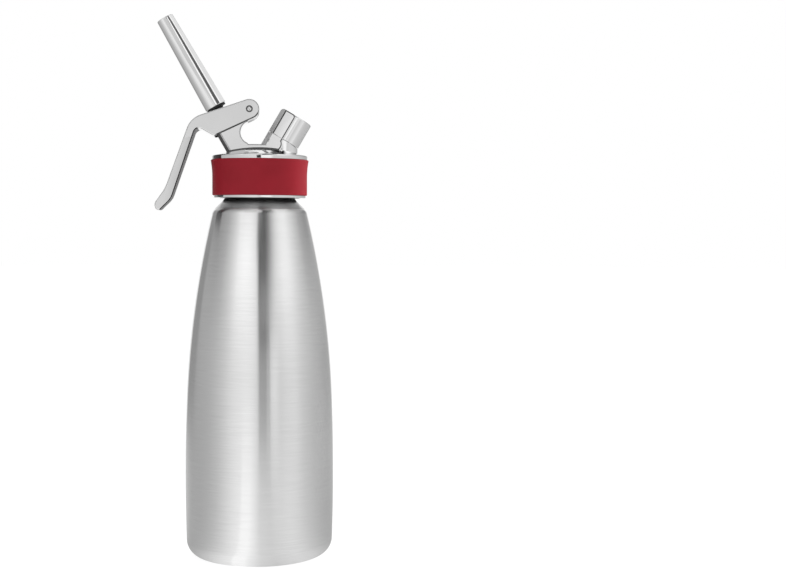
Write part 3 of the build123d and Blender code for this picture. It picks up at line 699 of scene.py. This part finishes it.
seat = turn([(HOLLOW_R, RIM_Z), (BORE_R, RIM_Z), (BORE_R, GASKET_TOP), (HOLLOW_R, GASKET_TOP)])
STEM_HOLE = STEM_R + STEM_RUN
valve_tool = turn([(0, SEAT_S - 1), (GLAND_R, SEAT_S - 1), (GLAND_R, GLAND_TOP), (STEM_HOLE, GLAND_TOP),
                   (STEM_HOLE, SPRING_S), (SPRING_ROOM_R, SPRING_S), (SPRING_ROOM_R, 45), (0, 45)], VALVE, 48)
port_tool = turn([(0, 12), (1.5, 12), (1.5, 18), (3.2, 18), (3.2, 25), (4, 25), (4, 32), (4.8, 32),
                  (4.8, 40.9), (5.4, STUB_TOP), (5.4, 42.5), (0, 42.5)], PORT, 48)
AXLE = Matrix.Translation(PIVOT) @ Matrix.Rotation(math.radians(-90), 4, "X")
PIN_R = 2.1
pin_tool = turn([(0, -20), (PIN_R, -20), (PIN_R, 20), (0, 20)], AXLE, 32)


def casting_painted_shade(normal, middle):
    """Painted reflection and shade: the flat sides' softened edges and the strips beside them are painted dark, and
    so are the foot bead's sides in the crease.
    """
    facing, out = abs(normal.y), abs(middle.y)
    if out < WEB_W / 2 + FOOT_PROUD + 0.05 and out > WEB_W / 2 + FOOT_PROUD - 0.05 and middle.z > FLANGE_TOP + 2:
        return 0.85
    if middle.z < FLANGE_TOP + 4:
        return 0
    if 0.2 < facing < 0.985 and (BLOCK_R if facing > 0.5 else WEB_W / 2 - BREAK) < out < WEB_W / 2 + 0.02:
        return 0.9 if middle.x > 8 else 0.35
    if 0.6 < facing < 0.8 and normal.dot(-valve_side) > 0.6:
        return 0.8
    if 0.6 < facing < 0.8 and normal.dot(-port_side) > 0.6:
        return 0.12
    return 0


head = join(shell, sides, foot, barrel, skirt, stub)
head = join(cut(head, bore), boss)
head = cut(head, seat, valve_tool, port_tool, pin_tool)
finish_piece("head_casting_piece", head, "head", head_steel, sharp=32, painted_shade=casting_painted_shade)

# %% [markdown]
# ## The lever
# The lever is cast in one piece: a bowed handle with a curled tip, a top plate with a slot that the
# valve comes up through, and a cheek down each side of the post. The side view gives its shape, so the
# blank is a plate of that outline, narrowed by the front view. Its rims are rounded before the well
# for the post, the slot and the pin hole are cut.

# %% Lever outlines
LEVER_W, LEVER_TIP_W, EYE_R, LEVER_EDGE, CHANNEL = 28.0, 20.0, 6.28, 0.8, WEB_W + 0.6
INNER_EDGE = 0.6
LEVER_FALL = math.radians(19)
SIDE = [
    (-EYE_R * math.sin(LEVER_FALL), EYE_R * math.cos(LEVER_FALL), 0),
    (-37.0, -6.1, 14),  # knuckle
    (-53.2, -50.3, 20),  # where the tip curls out
    (-60.5, -60.7, 4),
    (-58.3, -66.0, 2),
    (-49.5, -57.3, 12),
    (-33.6, -10.9, 3.5),  # crook of the finger
    (-22.2, -17.4, 3.5),  # lowest corner of the cheeks
]
low = Vector(SIDE[-1][:2])
eye_low = math.degrees(math.atan2(low.y, low.x) + math.acos(EYE_R / low.length))
side_view = round_corners(SIDE + [(EYE_R * math.cos(math.radians(eye_low)), EYE_R * math.sin(math.radians(eye_low)), 0)])
side_view += circle_points((0, 0), EYE_R, eye_low, 109)[1:-1]
TAPER_DROP, TIP_DROP = 18, 70
half, tip_half = LEVER_W / 2, LEVER_TIP_W / 2
front_view = round_corners([(-half, 9, 0), (-half, -TAPER_DROP, 30), (-tip_half, -TIP_DROP, 0),
                            (tip_half, -TIP_DROP, 0), (half, -TAPER_DROP, 30), (half, 9, 0)])
print("side view:", len(side_view), "points, front view:", len(front_view))


# %% Lever mesh
def at_pin(bm, turned=0.0):
    """Turns a mesh about the pin's axis and moves it to the pin."""
    place = Matrix.Translation(PIVOT) @ Matrix.Rotation(-turned, 4, "Y")
    bmesh.ops.transform(bm, matrix=place, verts=bm.verts)
    return bm


blank = at_pin(plate(side_view, LEVER_W))
front = plate(front_view, 160)
bmesh.ops.rotate(front, cent=(0, 0, 0), matrix=Matrix.Rotation(math.radians(90), 3, "Z"), verts=front.verts)
blank = combine(blank, [at_pin(front)], "INTERSECT")


def rim(edge):
    return max(abs(f.normal.y) for f in edge.link_faces) > 0.9


def inner_rim(edge):
    """The rims of the handle's inner side, which are eased more for the fingers."""
    side = min(edge.link_faces, key=lambda f: abs(f.normal.y))
    return rim(edge) and side.normal.x > 0.5 and side.calc_center_median().z < PIVOT.z - 10


soften(blank, INNER_EDGE, 2, sharper=50, chosen=inner_rim, clamp=False)
soften(blank, LEVER_EDGE, 3, sharper=50, chosen=rim, clamp=False)
WELL_R, PLATE_V, PLATE_U = 28.0, 3.8, 6.0
right = math.degrees(math.acos(PLATE_U / WELL_R))
left = math.degrees(math.asin(PLATE_V / WELL_R)) - 180
well_outline = [(PLATE_U, PLATE_V), *circle_points((0, 0), WELL_R, right, -180 - math.degrees(math.asin(PLATE_V / WELL_R)))]
well = at_pin(soften(plate(well_outline, CHANNEL), 0.4, 2, sharper=60), LEVER_FALL)
SLOT_R, SLOT_FROM, SLOT_TO = 4.9, 17.2, 19.4
slot_outline = circle_points((-SLOT_TO, 0), SLOT_R, 90, 270) + circle_points((-SLOT_FROM, 0), SLOT_R, -90, 90)
slot = plate(slot_outline, 40)
bmesh.ops.rotate(slot, cent=(0, 0, 0), matrix=Matrix.Rotation(math.radians(90), 3, "X"), verts=slot.verts)
bmesh.ops.translate(slot, vec=(0, 0, 20), verts=slot.verts)
EYE_HOLE = PIN_R + 0.1
eye_tool = turn([(0, -20), (EYE_HOLE, -20), (EYE_HOLE, 20), (0, 20)], AXLE, 48)
lever = cut(blank, well, at_pin(slot, LEVER_FALL), eye_tool)


def lever_painted_shade(normal, middle):
    """Painted shade: the handle's inner side, the eye round the pin and, more thinly, the rims are painted dark, most
    under the plate's lower edge.
    """
    facing = abs(normal.y)
    if math.hypot(middle.x - PIVOT.x, middle.z - PIVOT.z) < PIN_R + 0.4 and facing < 0.9:
        return 1
    if facing > 0.985:
        return 0
    if normal.x > 0.15 and middle.x < PIVOT.x - 28:
        return 0.8 if facing < 0.15 else 1
    if facing < 0.15 or (normal.z < -0.1 and normal.x < 0.1):
        return 0
    return 0.85 if normal.z < -0.1 and normal.x < 0.75 else 0.5 if normal.x > 0.3 else 0.15


finish_piece("lever_piece", lever, "lever", lever_steel, sharp=32, painted_shade=lever_painted_shade)

# %% [markdown]
# The lever swings on a rivet with a low domed crown at each end. The step round the crown is painted
# dark, a painted shade that shows as a fine ring.

# %% Lever pin
CROWN_R, PIN_REACH = 1.4, LEVER_W / 2 + 0.45
crown, _ = arc_to((0, PIN_REACH), 0, (CROWN_R - 0.1, PIN_REACH - 0.2), 6)
end = [(0, PIN_REACH), *crown, (CROWN_R, PIN_REACH - 0.4), (PIN_R, PIN_REACH - 0.6)]
pin = turn(end + [(radius, -height) for radius, height in reversed(end)], AXLE, 48)


# Painted shade: the step round the crown is darkened.
def pin_painted_shade(normal, middle):
    return 0.85 if math.hypot(middle.x - PIVOT.x, middle.z - PIVOT.z) > CROWN_R - 0.05 else 0


finish_piece("lever_pin_piece", pin, "head", turned_steel, painted_shade=pin_painted_shade)

# %% [markdown]
# ## The dispensing valve
# Pressing the lever pushes the collar down, and the stem with it, so the disc at its lower end leaves
# its seat and cream rises through the stem into the nozzle. All of it is turned work on one leaning
# axis: stem, washer, guide bush, O-ring, and the collar with its threaded neck.

# %% Valve stem and its seals
SEAL_S, POPPET_R, POPPET_T, STEM_BORE_R, STEM_TOP = SEAT_S - 1.5, 6.0, 2.0, 1.9, 62.0
stem = turn(
    round_corners(
        [
            (0, SEAL_S - POPPET_T, 0), (POPPET_R, SEAL_S - POPPET_T, 0.9), (POPPET_R, SEAL_S, 0.15),
            (STEM_R, SEAL_S, 0), (STEM_R, STEM_TOP, 0.3), (STEM_BORE_R, STEM_TOP, 0.2), (STEM_BORE_R, 14, 0.4), (0, 14, 0),
        ]
    ),
    VALVE, 48,
)
CROSS = VALVE @ Matrix.Translation((0, 0, 15.5)) @ Matrix.Rotation(math.radians(90), 4, "X")
cross_hole = turn([(0, -6), (1.3, -6), (1.3, 6), (0, 6)], CROSS, 24)
finish_piece("valve_stem_piece", cut(stem, cross_hole), "valve", turned_steel)


def washer(inner, outer, low, high, edge, place, steps=64):
    """A ring with softened corners."""
    return turn(round_corners([(inner, low, edge), (outer, low, edge), (outer, high, edge), (inner, high, edge)]), place, steps)


seal = washer(STEM_R, POPPET_R, SEAL_S, SEAT_S, 0.2, VALVE)
finish_piece("valve_seal_piece", seal, "valve", seal_rubber)
bush = washer(STEM_HOLE, GLAND_R, 17.2, 21.2, 0.15, VALVE)
finish_piece("stem_guide_bush_piece", bush, "head", turned_steel)
oring = turn(circle_points(((STEM_R + GLAND_R) / 2, 22.3), 0.75, 0, 345, 15), VALVE, 64)
finish_piece("stem_oring_piece", oring, "head", seal_rubber)

# %% [markdown]
# The collar and the neck are one piece, screwed on to the stem. The neck has a rolled thread for the
# nozzle, with a black washer at its foot that shows as a dark line under the nozzle.

# %% Nozzle adapter and nozzle seal
COLLAR_S, COLLAR_T, COLLAR_R, ADAPTER_R, ADAPTER_TOP, ADAPTER_DEPTH = 46.75, 2.85, 7.0, 4.4, 64.0, 0.4
NOZZLE_S, SOCKET_L = 56.3, 8.7
collar = round_corners(
    [(STEM_R, COLLAR_S, 0), (COLLAR_R, COLLAR_S, 0.4), (COLLAR_R, COLLAR_S + COLLAR_T, 0.6),
     (ADAPTER_R - ADAPTER_DEPTH, COLLAR_S + COLLAR_T, 0.5), (ADAPTER_R - ADAPTER_DEPTH, 52, 0)], closed=False)
neck = rows(ADAPTER_R - ADAPTER_DEPTH, 52, ADAPTER_TOP - 0.8, 0.12)
adapter = turn([*collar, *neck[1:], (ADAPTER_R - 0.8, ADAPTER_TOP), (STEM_R, ADAPTER_TOP)], steps=64)
roll_thread(adapter, 52.5, ADAPTER_TOP - 0.8, 1.0, ADAPTER_DEPTH - 0.02, outside=STEM_R + 0.2, inside=COLLAR_R - 1)
bmesh.ops.transform(adapter, matrix=VALVE, verts=adapter.verts)
VALVE_BACK = VALVE.inverted()


def neck_painted_shade(normal, middle):
    """Painted shade: the rolled neck above the collar is painted dark, for the shaded gap under the nozzle."""
    return 0.9 if (VALVE_BACK @ middle).z > COLLAR_S + COLLAR_T - 0.3 else 0


finish_piece("nozzle_adapter_piece", adapter, "valve", turned_steel, painted_shade=neck_painted_shade)
nozzle_seal = washer(ADAPTER_R + 0.05, 6.4, NOZZLE_S - 1.2, NOZZLE_S, 0.25, VALVE)
finish_piece("nozzle_seal_piece", nozzle_seal, "nozzle_ring", seal_rubber)

# %% [markdown]
# ## The nozzle
# A long tapered tube, turned and polished lengthwise, with a straight bore and a threaded socket.

# %% Nozzle
NOZZLE_TIP, NOZZLE_BASE_R, NOZZLE_TIP_R, NOZZLE_BORE_R = NOZZLE_S + 64.55, 7.05, 5.6, 4.2
SOCKET_R, SOCKET_END = ADAPTER_R + 0.1, NOZZLE_S + SOCKET_L
tube = round_corners([(SOCKET_R, NOZZLE_S, 0.3), (NOZZLE_BASE_R, NOZZLE_S, 0.6), (NOZZLE_TIP_R, NOZZLE_TIP, 0.45),
                      (NOZZLE_BORE_R, NOZZLE_TIP, 0.3), (NOZZLE_BORE_R, SOCKET_END, 0)])
socket_wall = rows(SOCKET_R, SOCKET_END, NOZZLE_S + 0.6, 0.12)
nozzle = turn(tube + socket_wall, steps=128)
roll_thread(nozzle, NOZZLE_S + 0.6, SOCKET_END, 1.0, 0.35, outside=SOCKET_R - 0.05, inside=SOCKET_R + 0.05)
bmesh.ops.transform(nozzle, matrix=VALVE, verts=nozzle.verts)
finish_piece("nozzle_piece", nozzle, "nozzle", tube_steel)

# %% [markdown]
# ## Springs
# A spring is a round wire swept along a helix. Spinning a small circle with a rise at every step does
# just that. The last turn at each end has almost no rise, so that the spring stands on a flat coil.
# On the real whipper the springs flatten as the valves move.

# %% Springs
def spring(radius, wire, turns, low, high, place, steps=24):
    """A compression spring with a closed coil at each end."""
    bm = bmesh.new()
    start = Matrix.Translation((radius, 0, low + wire)) @ Matrix.Rotation(math.radians(90), 4, "X")
    bmesh.ops.create_circle(bm, cap_ends=False, radius=wire, segments=12, matrix=start)
    tip = bm.verts[:] + bm.edges[:]
    rise = high - low - 2 * wire
    shares = ((0.8, 0.1), (turns - 1.6, 0.8), (0.8, 0.1))
    for wound, share in shares:
        count = round(steps * wound)
        grown = bmesh.ops.spin(
            bm, geom=tip, cent=(0, 0, 0), axis=(0, 0, 1), dvec=(0, 0, rise * share / count),
            angle=2 * math.pi * wound, steps=count, use_duplicate=False,
        )
        tip = grown["geom_last"]
    bmesh.ops.holes_fill(bm, edges=[e for e in bm.edges if e.is_boundary], sides=12)
    return clean(bm, place)


return_spring = spring(4.2, 0.45, 5.5, SPRING_S, COLLAR_S, VALVE)
piece = finish_piece("return_spring_piece", return_spring, "head", spring_steel)
foot = VALVE @ Vector((0, 0, SPRING_S)) * MM
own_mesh(piece)
CHECK_LOW, CHECK_HIGH = 18.0, 23.5
check_spring = spring(2.0, 0.3, 4.5, CHECK_LOW, CHECK_HIGH, PORT)
piece = finish_piece("check_valve_spring_piece", check_spring, "head", spring_steel)
foot = PORT @ Vector((0, 0, CHECK_LOW)) * MM
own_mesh(piece)

# %% [markdown]
# ## Inside the charger port
# A hollow needle stands in a pressed-in carrier and pierces the charger. Behind it a rubber disc on a
# small spring lets gas in and none out. A washer seals the charger's neck.

# %% Port pieces
carrier = turn(round_corners([(0.8, 25, 0), (4, 25, 0.2), (4, 32, 0.3), (1.2, 32, 0.1), (1.2, 28, 0), (0.8, 28, 0)]), PORT, 48)
finish_piece("pin_carrier_piece", carrier, "head", turned_steel)
needle = turn([(0.45, 28), (1.2, 28), (1.2, 33.6), (0.9, 34.3), (0.5, 35.1), (0.45, 35.2)], PORT, 32)
finish_piece("piercing_pin_piece", needle, "head", turned_steel)
charger_seal = washer(2.2, 4.7, 32, 33.5, 0.25, PORT)
finish_piece("charger_seal_piece", charger_seal, "head", seal_rubber)
check_disc = turn(round_corners([(0, 23.5, 0), (2.8, 23.5, 0.3), (2.8, 25, 0.3), (0, 25, 0)]), PORT, 48)
finish_piece("check_valve_disc_piece", check_disc, "check_valve", seal_rubber)

# %% [markdown]
# ## The cap
# The cap repeats the section of the block, round on one side and square on the other, so that the seam
# between them is all that shows. The square side's corners are rounded where they end.

# %% Protective cap and liner
CAP_LOW, CAP_TOP, CAP_ROOM, CAP_ROOM_R, CAP_CORNER_R = SEAM_S + 0.3, 47.3, 43.5, 9.7, 2.0
cap_barrel = turn(round_corners([(0, CAP_LOW, 0), (BLOCK_R, CAP_LOW, SEAM_BREAK), (BLOCK_R, CAP_TOP, 0.7), (0, CAP_TOP, 0)]), PORT, 128)
back = bar((-BLOCK_FLAT_P, -WEB_W / 2, CAP_LOW), (-BLOCK_FLAT_END, WEB_W / 2, CAP_TOP + 1), PORT)
soften(back, BLOCK_EDGE, 1, chosen=along(port_up, -port_side, back_face))
profile = plate(round_corners([(-BLOCK_FLAT_P, CAP_LOW, 0), (-BLOCK_FLAT_P, CAP_TOP, CAP_CORNER_R),
                               (-BLOCK_FLAT_END, CAP_TOP, CAP_CORNER_R), (-BLOCK_FLAT_END, CAP_LOW, 0)]), 40)
bmesh.ops.transform(profile, matrix=PORT, verts=profile.verts)
back = combine(back, [profile], "INTERSECT")
soften(back, BREAK, 3, sharper=40, chosen=side_rim, clamp=False)
room = turn([(0, CAP_LOW - 1), (CAP_ROOM_R, CAP_LOW - 1), (CAP_ROOM_R, CAP_ROOM), (0, CAP_ROOM)], PORT)
cap = cut(join(cap_barrel, back), room)


# Painted shade: the cap's round back edge is painted a little dark; the rest is shaded as on the casting.
def cap_painted_shade(normal, middle):
    return 0.22 if 0.6 < abs(normal.y) < 0.8 and normal.dot(-port_side) > 0.6 else casting_painted_shade(normal, middle)


finish_piece("protective_cap_piece", cap, "cap", head_steel, sharp=32, painted_shade=cap_painted_shade)
liner = turn(round_corners([(0, 42, 0), (9.5, 42, 0.3), (9.5, 43.5, 0), (0, 43.5, 0)]), PORT)
finish_piece("cap_liner_piece", liner, "cap", seal_rubber)

# %% [markdown]
# ## The head gasket
# A flat silicone ring between the rim and the head, with a tab to pull it out for washing.

# %% Head gasket
gasket = washer(HOLLOW_R, 25.3, RIM_Z, GASKET_TOP, 0.4, UPRIGHT, 128)
TAB_AT = Matrix.Rotation(math.radians(70), 4, "Z")
tab = soften(bar((HOLLOW_R - 3.5, -3, GASKET_TOP - 1.5), (HOLLOW_R + 1, 3, GASKET_TOP), TAB_AT), 0.5, 3)
finish_piece("head_gasket_piece", join(gasket, tab), "gasket", silicone)

# %% [markdown]
# ## Camera
# The whipper is seen from the front at the height of its neck, from about 0.9 m, standing left of the
# middle of the frame. The aim comes from where the bottle's axis and the eye's level lie in a frame
# of 786 by 587. The camera is turned by a third of a degree about its line of sight, so the bottle is upright.

# %% Camera
FRAME_W, FRAME_H, FOCAL = 786, 587, 1397
AXIS_COLUMN, EYE_ROW, ROLL = 259.6, 221.9, math.radians(-0.3)
EYE = Vector((0, -0.910, 0.2171))
camera = bpy.data.objects.new("camera", bpy.data.cameras.new("camera"))
bpy.context.scene.collection.objects.link(camera)
bpy.context.scene.camera = camera
camera.data.sensor_width = 36
camera.data.lens = camera.data.sensor_width * FOCAL / FRAME_W
yaw = math.atan((FRAME_W / 2 - AXIS_COLUMN) / FOCAL)
pitch = math.atan((FRAME_H / 2 - EYE_ROW) / FOCAL)
aim = Vector((math.sin(yaw) * math.cos(pitch), math.cos(yaw) * math.cos(pitch), -math.sin(pitch)))
camera.rotation_mode = "QUATERNION"
camera.rotation_quaternion = Quaternion(aim, ROLL) @ aim.to_track_quat("-Z", "Y")
camera.location = EYE
camera.data.clip_start = 0.05
print("lens", round(camera.data.lens, 1), "mm, yaw", round(math.degrees(yaw), 2), "pitch", round(math.degrees(pitch), 2))

# %% [markdown]
# ## Floor and light
# Polished metal has no look of its own: it shows the room. So the room is built for it. The whipper
# stands on a white floor in a light tent, a ring of white cloth lit from the sides. The tent is
# brightest left of the camera, a black flag hangs right of it, and both sides fall off toward the
# back. The flag draws the dark stripe down the bottle, the bright cloth draws the band beside it.

# %% Light helpers
def glow(tree, grey, strength=1.0):
    shader = tree.nodes.new("ShaderNodeEmission")
    shader.inputs["Color"].default_value = (grey, grey, grey, 1)
    shader.inputs["Strength"].default_value = strength
    return shader


def share_by_ray(tree, path, ray, share, base, other):
    """Mixes a share of another shader into the base, for one kind of ray."""
    part = tree.nodes.new("ShaderNodeMath")
    part.operation = "MULTIPLY"
    part.inputs[1].default_value = share
    tree.links.new(path.outputs[ray], part.inputs[0])
    mix = tree.nodes.new("ShaderNodeMixShader")
    tree.links.new(part.outputs[0], mix.inputs["Fac"])
    tree.links.new(base.outputs[0], mix.inputs[1])
    tree.links.new(other.outputs[0], mix.inputs[2])
    return mix


def ring(tree, turned, stops):
    """A ring of brightness from (angle, brightness) stops."""
    ramp = tree.nodes.new("ShaderNodeValToRGB")
    tree.links.new(turned, ramp.inputs["Fac"])
    elements = ramp.color_ramp.elements
    elements.remove(elements[1])
    for i, (angle, brightness) in enumerate(stops):
        stop = elements[0] if i == 0 else elements.new(angle / 360 + 0.5)
        stop.color = (*(brightness / PEAK,) * 3, 1)
    return ramp.outputs["Color"]


def mixed(tree, factor, a, b):
    mix = tree.nodes.new("ShaderNodeMix")
    mix.data_type = "RGBA"
    for slot, value in (("Factor", factor), ("A", a), ("B", b)):
        if isinstance(value, float):
            mix.inputs[slot].default_value = (value, value, value, 1)
        else:
            tree.links.new(value, mix.inputs[slot])
    return mix.outputs["Result"]


def ramp_between(tree, value, low, high):
    node = tree.nodes.new("ShaderNodeMapRange")
    node.interpolation_type = "SMOOTHSTEP"
    node.inputs["From Min"].default_value = low
    node.inputs["From Max"].default_value = high
    tree.links.new(value, node.inputs["Value"])
    return node.outputs["Result"]


def azimuth(tree, place):
    """The angle round the object as a share of a turn, 0.5 toward the camera, and the height."""
    parts = tree.nodes.new("ShaderNodeSeparateXYZ")
    tree.links.new(place, parts.inputs["Vector"])
    x, y, z = parts.outputs
    angle = maths(tree, "ARCTAN2", x, maths(tree, "MULTIPLY", y, -1))
    return maths(tree, "ADD", maths(tree, "DIVIDE", angle, 2 * math.pi), 0.5), z


print("node helpers ready")

# %% [markdown]
# Brightness is painted in rings round the object, with 0 degrees toward the camera and growing to the
# right: one for the floor close by, one for the far floor, one for the lowest cloth, one for the tent
# above eye level, and one for its upper part. All have the bright side on the left and the flag near the
# middle, but only the upper ones have the flag black.

# %% Floor
PEAK = 1.6  # a ramp's white stands for this brightness
NEAR = ((-180, 0.85), (-149, 0.6), (-117, 0.45), (-96, 0.45), (-79, 0.51), (-64, 0.62), (-50, 0.8), (-36, 1.0),
        (-27, 1.1), (-24, 1.27), (-14, 1.27), (-9, 1.12), (2, 0.86), (14, 0.79), (27, 0.86), (40, 0.89), (54, 0.81),
        (68, 0.68), (84, 0.57), (102, 0.48), (125, 0.44), (150, 0.46), (165, 0.85))
FAR = ((-180, 1.0), (-158, 1.0), (-152, 0.28), (-128, 0.32), (-112, 0.42), (-85, 0.5), (-62, 0.72), (-46, 0.93),
       (-22, 1.0), (-10, 0.9), (3, 0.6), (10, 0.62), (16, 0.84), (22, 0.95), (31, 0.7), (42, 0.82), (56, 0.92),
       (70, 0.66), (90, 0.48), (120, 0.35), (155, 0.45), (162, 1.0))
LOW = ((-180, 1.0), (-158, 1.0), (-152, 0.33), (-128, 0.33), (-122, 0.5), (-60, 0.66), (-30, 0.76), (-8, 0.83),
       (-3, 0.8), (-1.5, 0.76), (0, 0.79), (1.2, 0.88), (5, 1.08), (24, 1.08), (34, 0.7), (60, 0.74), (90, 0.72),
       (140, 0.5), (155, 0.5), (162, 1.0))
TENT = ((-180, 1.0), (-158, 1.0), (-152, 0.32), (-130, 0.32), (-98, 0.34), (-78, 0.49), (-60, 0.84), (-43, 1.34),
        (-28, 1.38), (-13, 1.28), (-4, 1.12), (-2, 0.02), (11, 0.02), (17, 0.42), (31, 1.22), (47, 1.4), (64, 1.18),
        (83, 0.78), (104, 0.45), (134, 0.24), (155, 0.28), (162, 1.0))
HIGH = ((-180, 1.0), (-158, 1.0), (-152, 0.5), (-130, 0.5), (-98, 0.4), (-77, 0.52), (-55, 0.88), (-35, 1.32),
        (-20, 1.22), (-12, 1.0), (-6, 0.94), (-3, 0.01), (19, 0.01), (25, 0.25), (40, 0.82), (60, 1.08), (83, 0.83),
        (110, 0.5), (134, 0.4), (155, 0.45), (162, 1.0))
paper = bpy.data.materials.new("floor_white")
paper.use_nodes = True
tree = paper.node_tree
shader = tree.nodes["Principled BSDF"]
shader.inputs["Base Color"].default_value = (0.9, 0.9, 0.9, 1)
shader.inputs["Roughness"].default_value = 0.9
shader.inputs["Specular IOR Level"].default_value = 0.1
path = tree.nodes.new("ShaderNodeLightPath")
where = object_coordinates(tree)
reach = tree.nodes.new("ShaderNodeVectorMath")
reach.operation = "LENGTH"
tree.links.new(where, reach.inputs[0])
turned = azimuth(tree, where)[0]
mirrored = glow(tree, 1, PEAK)
cloth = mixed(tree, ramp_between(tree, reach.outputs["Value"], 0.5, 0.75), ring(tree, turned, NEAR), ring(tree, turned, FAR))
tree.links.new(cloth, mirrored.inputs["Color"])
shown = share_by_ray(tree, path, "Is Glossy Ray", 0.88, shader, mirrored)
shown = share_by_ray(tree, path, "Is Camera Ray", 0.75, shown, glow(tree, 1, 1.2))
tree.links.new(shown.outputs[0], tree.nodes["Material Output"].inputs["Surface"])

floor_mesh = bmesh.new()
bmesh.ops.create_circle(floor_mesh, cap_ends=True, radius=6, segments=96)
mesh = bpy.data.meshes.new("floor")
floor_mesh.to_mesh(mesh)
floor_mesh.free()
mesh.materials.append(paper)
floor = bpy.data.objects.new("floor", mesh)
bpy.context.scene.collection.objects.link(floor)
floor.location.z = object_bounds()[0].z - 0.0002
floor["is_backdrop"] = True
print("floor at", round(floor.location.z / MM, 2), "mm")

# %% [markdown]
# The tent itself is painted in the world's nodes, from the same rings. High up it is dim. Seen by the
# camera it is plain white.

# %% The tent
world = bpy.data.worlds.new("tent")
bpy.context.scene.world = world
world.use_nodes = True
tree = world.node_tree


turned, z = azimuth(tree, tree.nodes.new("ShaderNodeTexCoord").outputs["Generated"])
tent = mixed(tree, ramp_between(tree, z, 0.14, 0.19), ring(tree, turned, LOW), ring(tree, turned, TENT))
tent = mixed(tree, ramp_between(tree, z, 0.3, 0.4), tent, ring(tree, turned, HIGH))
tent = mixed(tree, maths(tree, "MULTIPLY", ramp_between(tree, z, 0.65, 0.9), 0.4), tent, 0.0)
path = tree.nodes.new("ShaderNodeLightPath")
tent = mixed(tree, path.outputs["Is Camera Ray"], tent, 1 / PEAK)
tree.links.new(tent, tree.nodes["Background"].inputs["Color"])
tree.nodes["Background"].inputs["Strength"].default_value = PEAK
print("tent:", len(TENT), "stops, low band:", len(LOW))


# %% [markdown]
# Small cards close to the nozzle draw its stripes: grey cloth, a white strip, a dark one, a white one
# and grey cloth again. More cards, low in front, put a dark bar on the flange and draw the bottle's
# stripe on down its belly. A soft lamp hangs overhead, and a smaller one behind the right side lifts the edge of the silicone.

# %% Cards and lamp
def card(name, azimuths, heights, distance, grey, across=0.0):
    """A matt card that fills a range of angles round a place on the X axis, hidden from the camera."""
    middle = math.radians(sum(azimuths) / 2)
    bm = bmesh.new()
    bmesh.ops.create_grid(bm, x_segments=1, y_segments=1, size=0.5)
    mesh = bpy.data.meshes.new(name)
    bm.to_mesh(mesh)
    bm.free()
    matt = bpy.data.materials.new(name)
    matt.use_nodes = True
    tree = matt.node_tree
    tree.links.new(glow(tree, grey).outputs[0], tree.nodes["Material Output"].inputs["Surface"])
    mesh.materials.append(matt)
    flag = bpy.data.objects.new(name, mesh)
    bpy.context.scene.collection.objects.link(flag)
    flag.scale = (2 * distance * math.tan(math.radians(azimuths[1] - azimuths[0]) / 2), heights[1] - heights[0], 1)
    flag.location = (across + distance * math.sin(middle), -distance * math.cos(middle), sum(heights) / 2)
    flag.rotation_euler = (math.radians(90), 0, middle)
    flag.visible_camera = False
    flag.visible_diffuse = False
    flag.visible_shadow = False
    flag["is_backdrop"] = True
    return flag


NOZZLE_X, NEARBY = -0.045, 0.15
for number, (first, last, low, high, grey) in enumerate((
    (-28, 11, 0.307, 0.40, 0.66), (11, 23, 0.320, 0.43, 1.2), (23, 55, 0.331, 0.465, 0.12),
    (55, 70, 0.355, 0.48, 1.15), (70, 150, 0.345, 0.52, 0.86),
)):
    card(f"nozzle_card_{number}", (first, last), (low, high), NEARBY, grey, NOZZLE_X)
card("bar_card", (-4.6, 4.6), (0.245, 0.2675), 0.16, 0.03, -0.006)
card("stripe_card_left", (-5.4, 5.4), (0.055, 0.172), 0.2, 0.44, 0.0148)
card("stripe_card_right", (-2.6, 2.6), (0.055, 0.172), 0.2, 0.6, 0.0428)


def soft_lamp(name, place, size, energy):
    """An area lamp that points at the head and that neither the camera nor the steel sees."""
    lamp = bpy.data.lights.new(name, "AREA")
    lamp.shape = "RECTANGLE"
    lamp.size, lamp.size_y = size
    lamp.energy = energy
    hung = bpy.data.objects.new(name, lamp)
    bpy.context.scene.collection.objects.link(hung)
    hung.location = place
    hung.rotation_mode = "QUATERNION"
    hung.rotation_quaternion = (Vector(place) - Vector((0, 0, RIM_Z * MM))).to_track_quat("Z", "Y")
    hung.visible_camera = False
    hung.visible_glossy = False


soft_lamp("overhead", (-0.3, -0.2, 1.7), (1.4, 0.9), 6)
soft_lamp("rim_light", (0.95, 0.42, 0.36), (0.4, 0.5), 9)

# %% [markdown]
# ## Size
# The finished pieces are meant to stay inside the engineering model's box. The box round all of them is printed, in
# millimetres.

# %% Size, then finish
bpy.context.scene.view_settings.view_transform = "Standard"
low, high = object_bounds()
print("visual box in mm:", [round(side / MM, 2) for side in high - low])
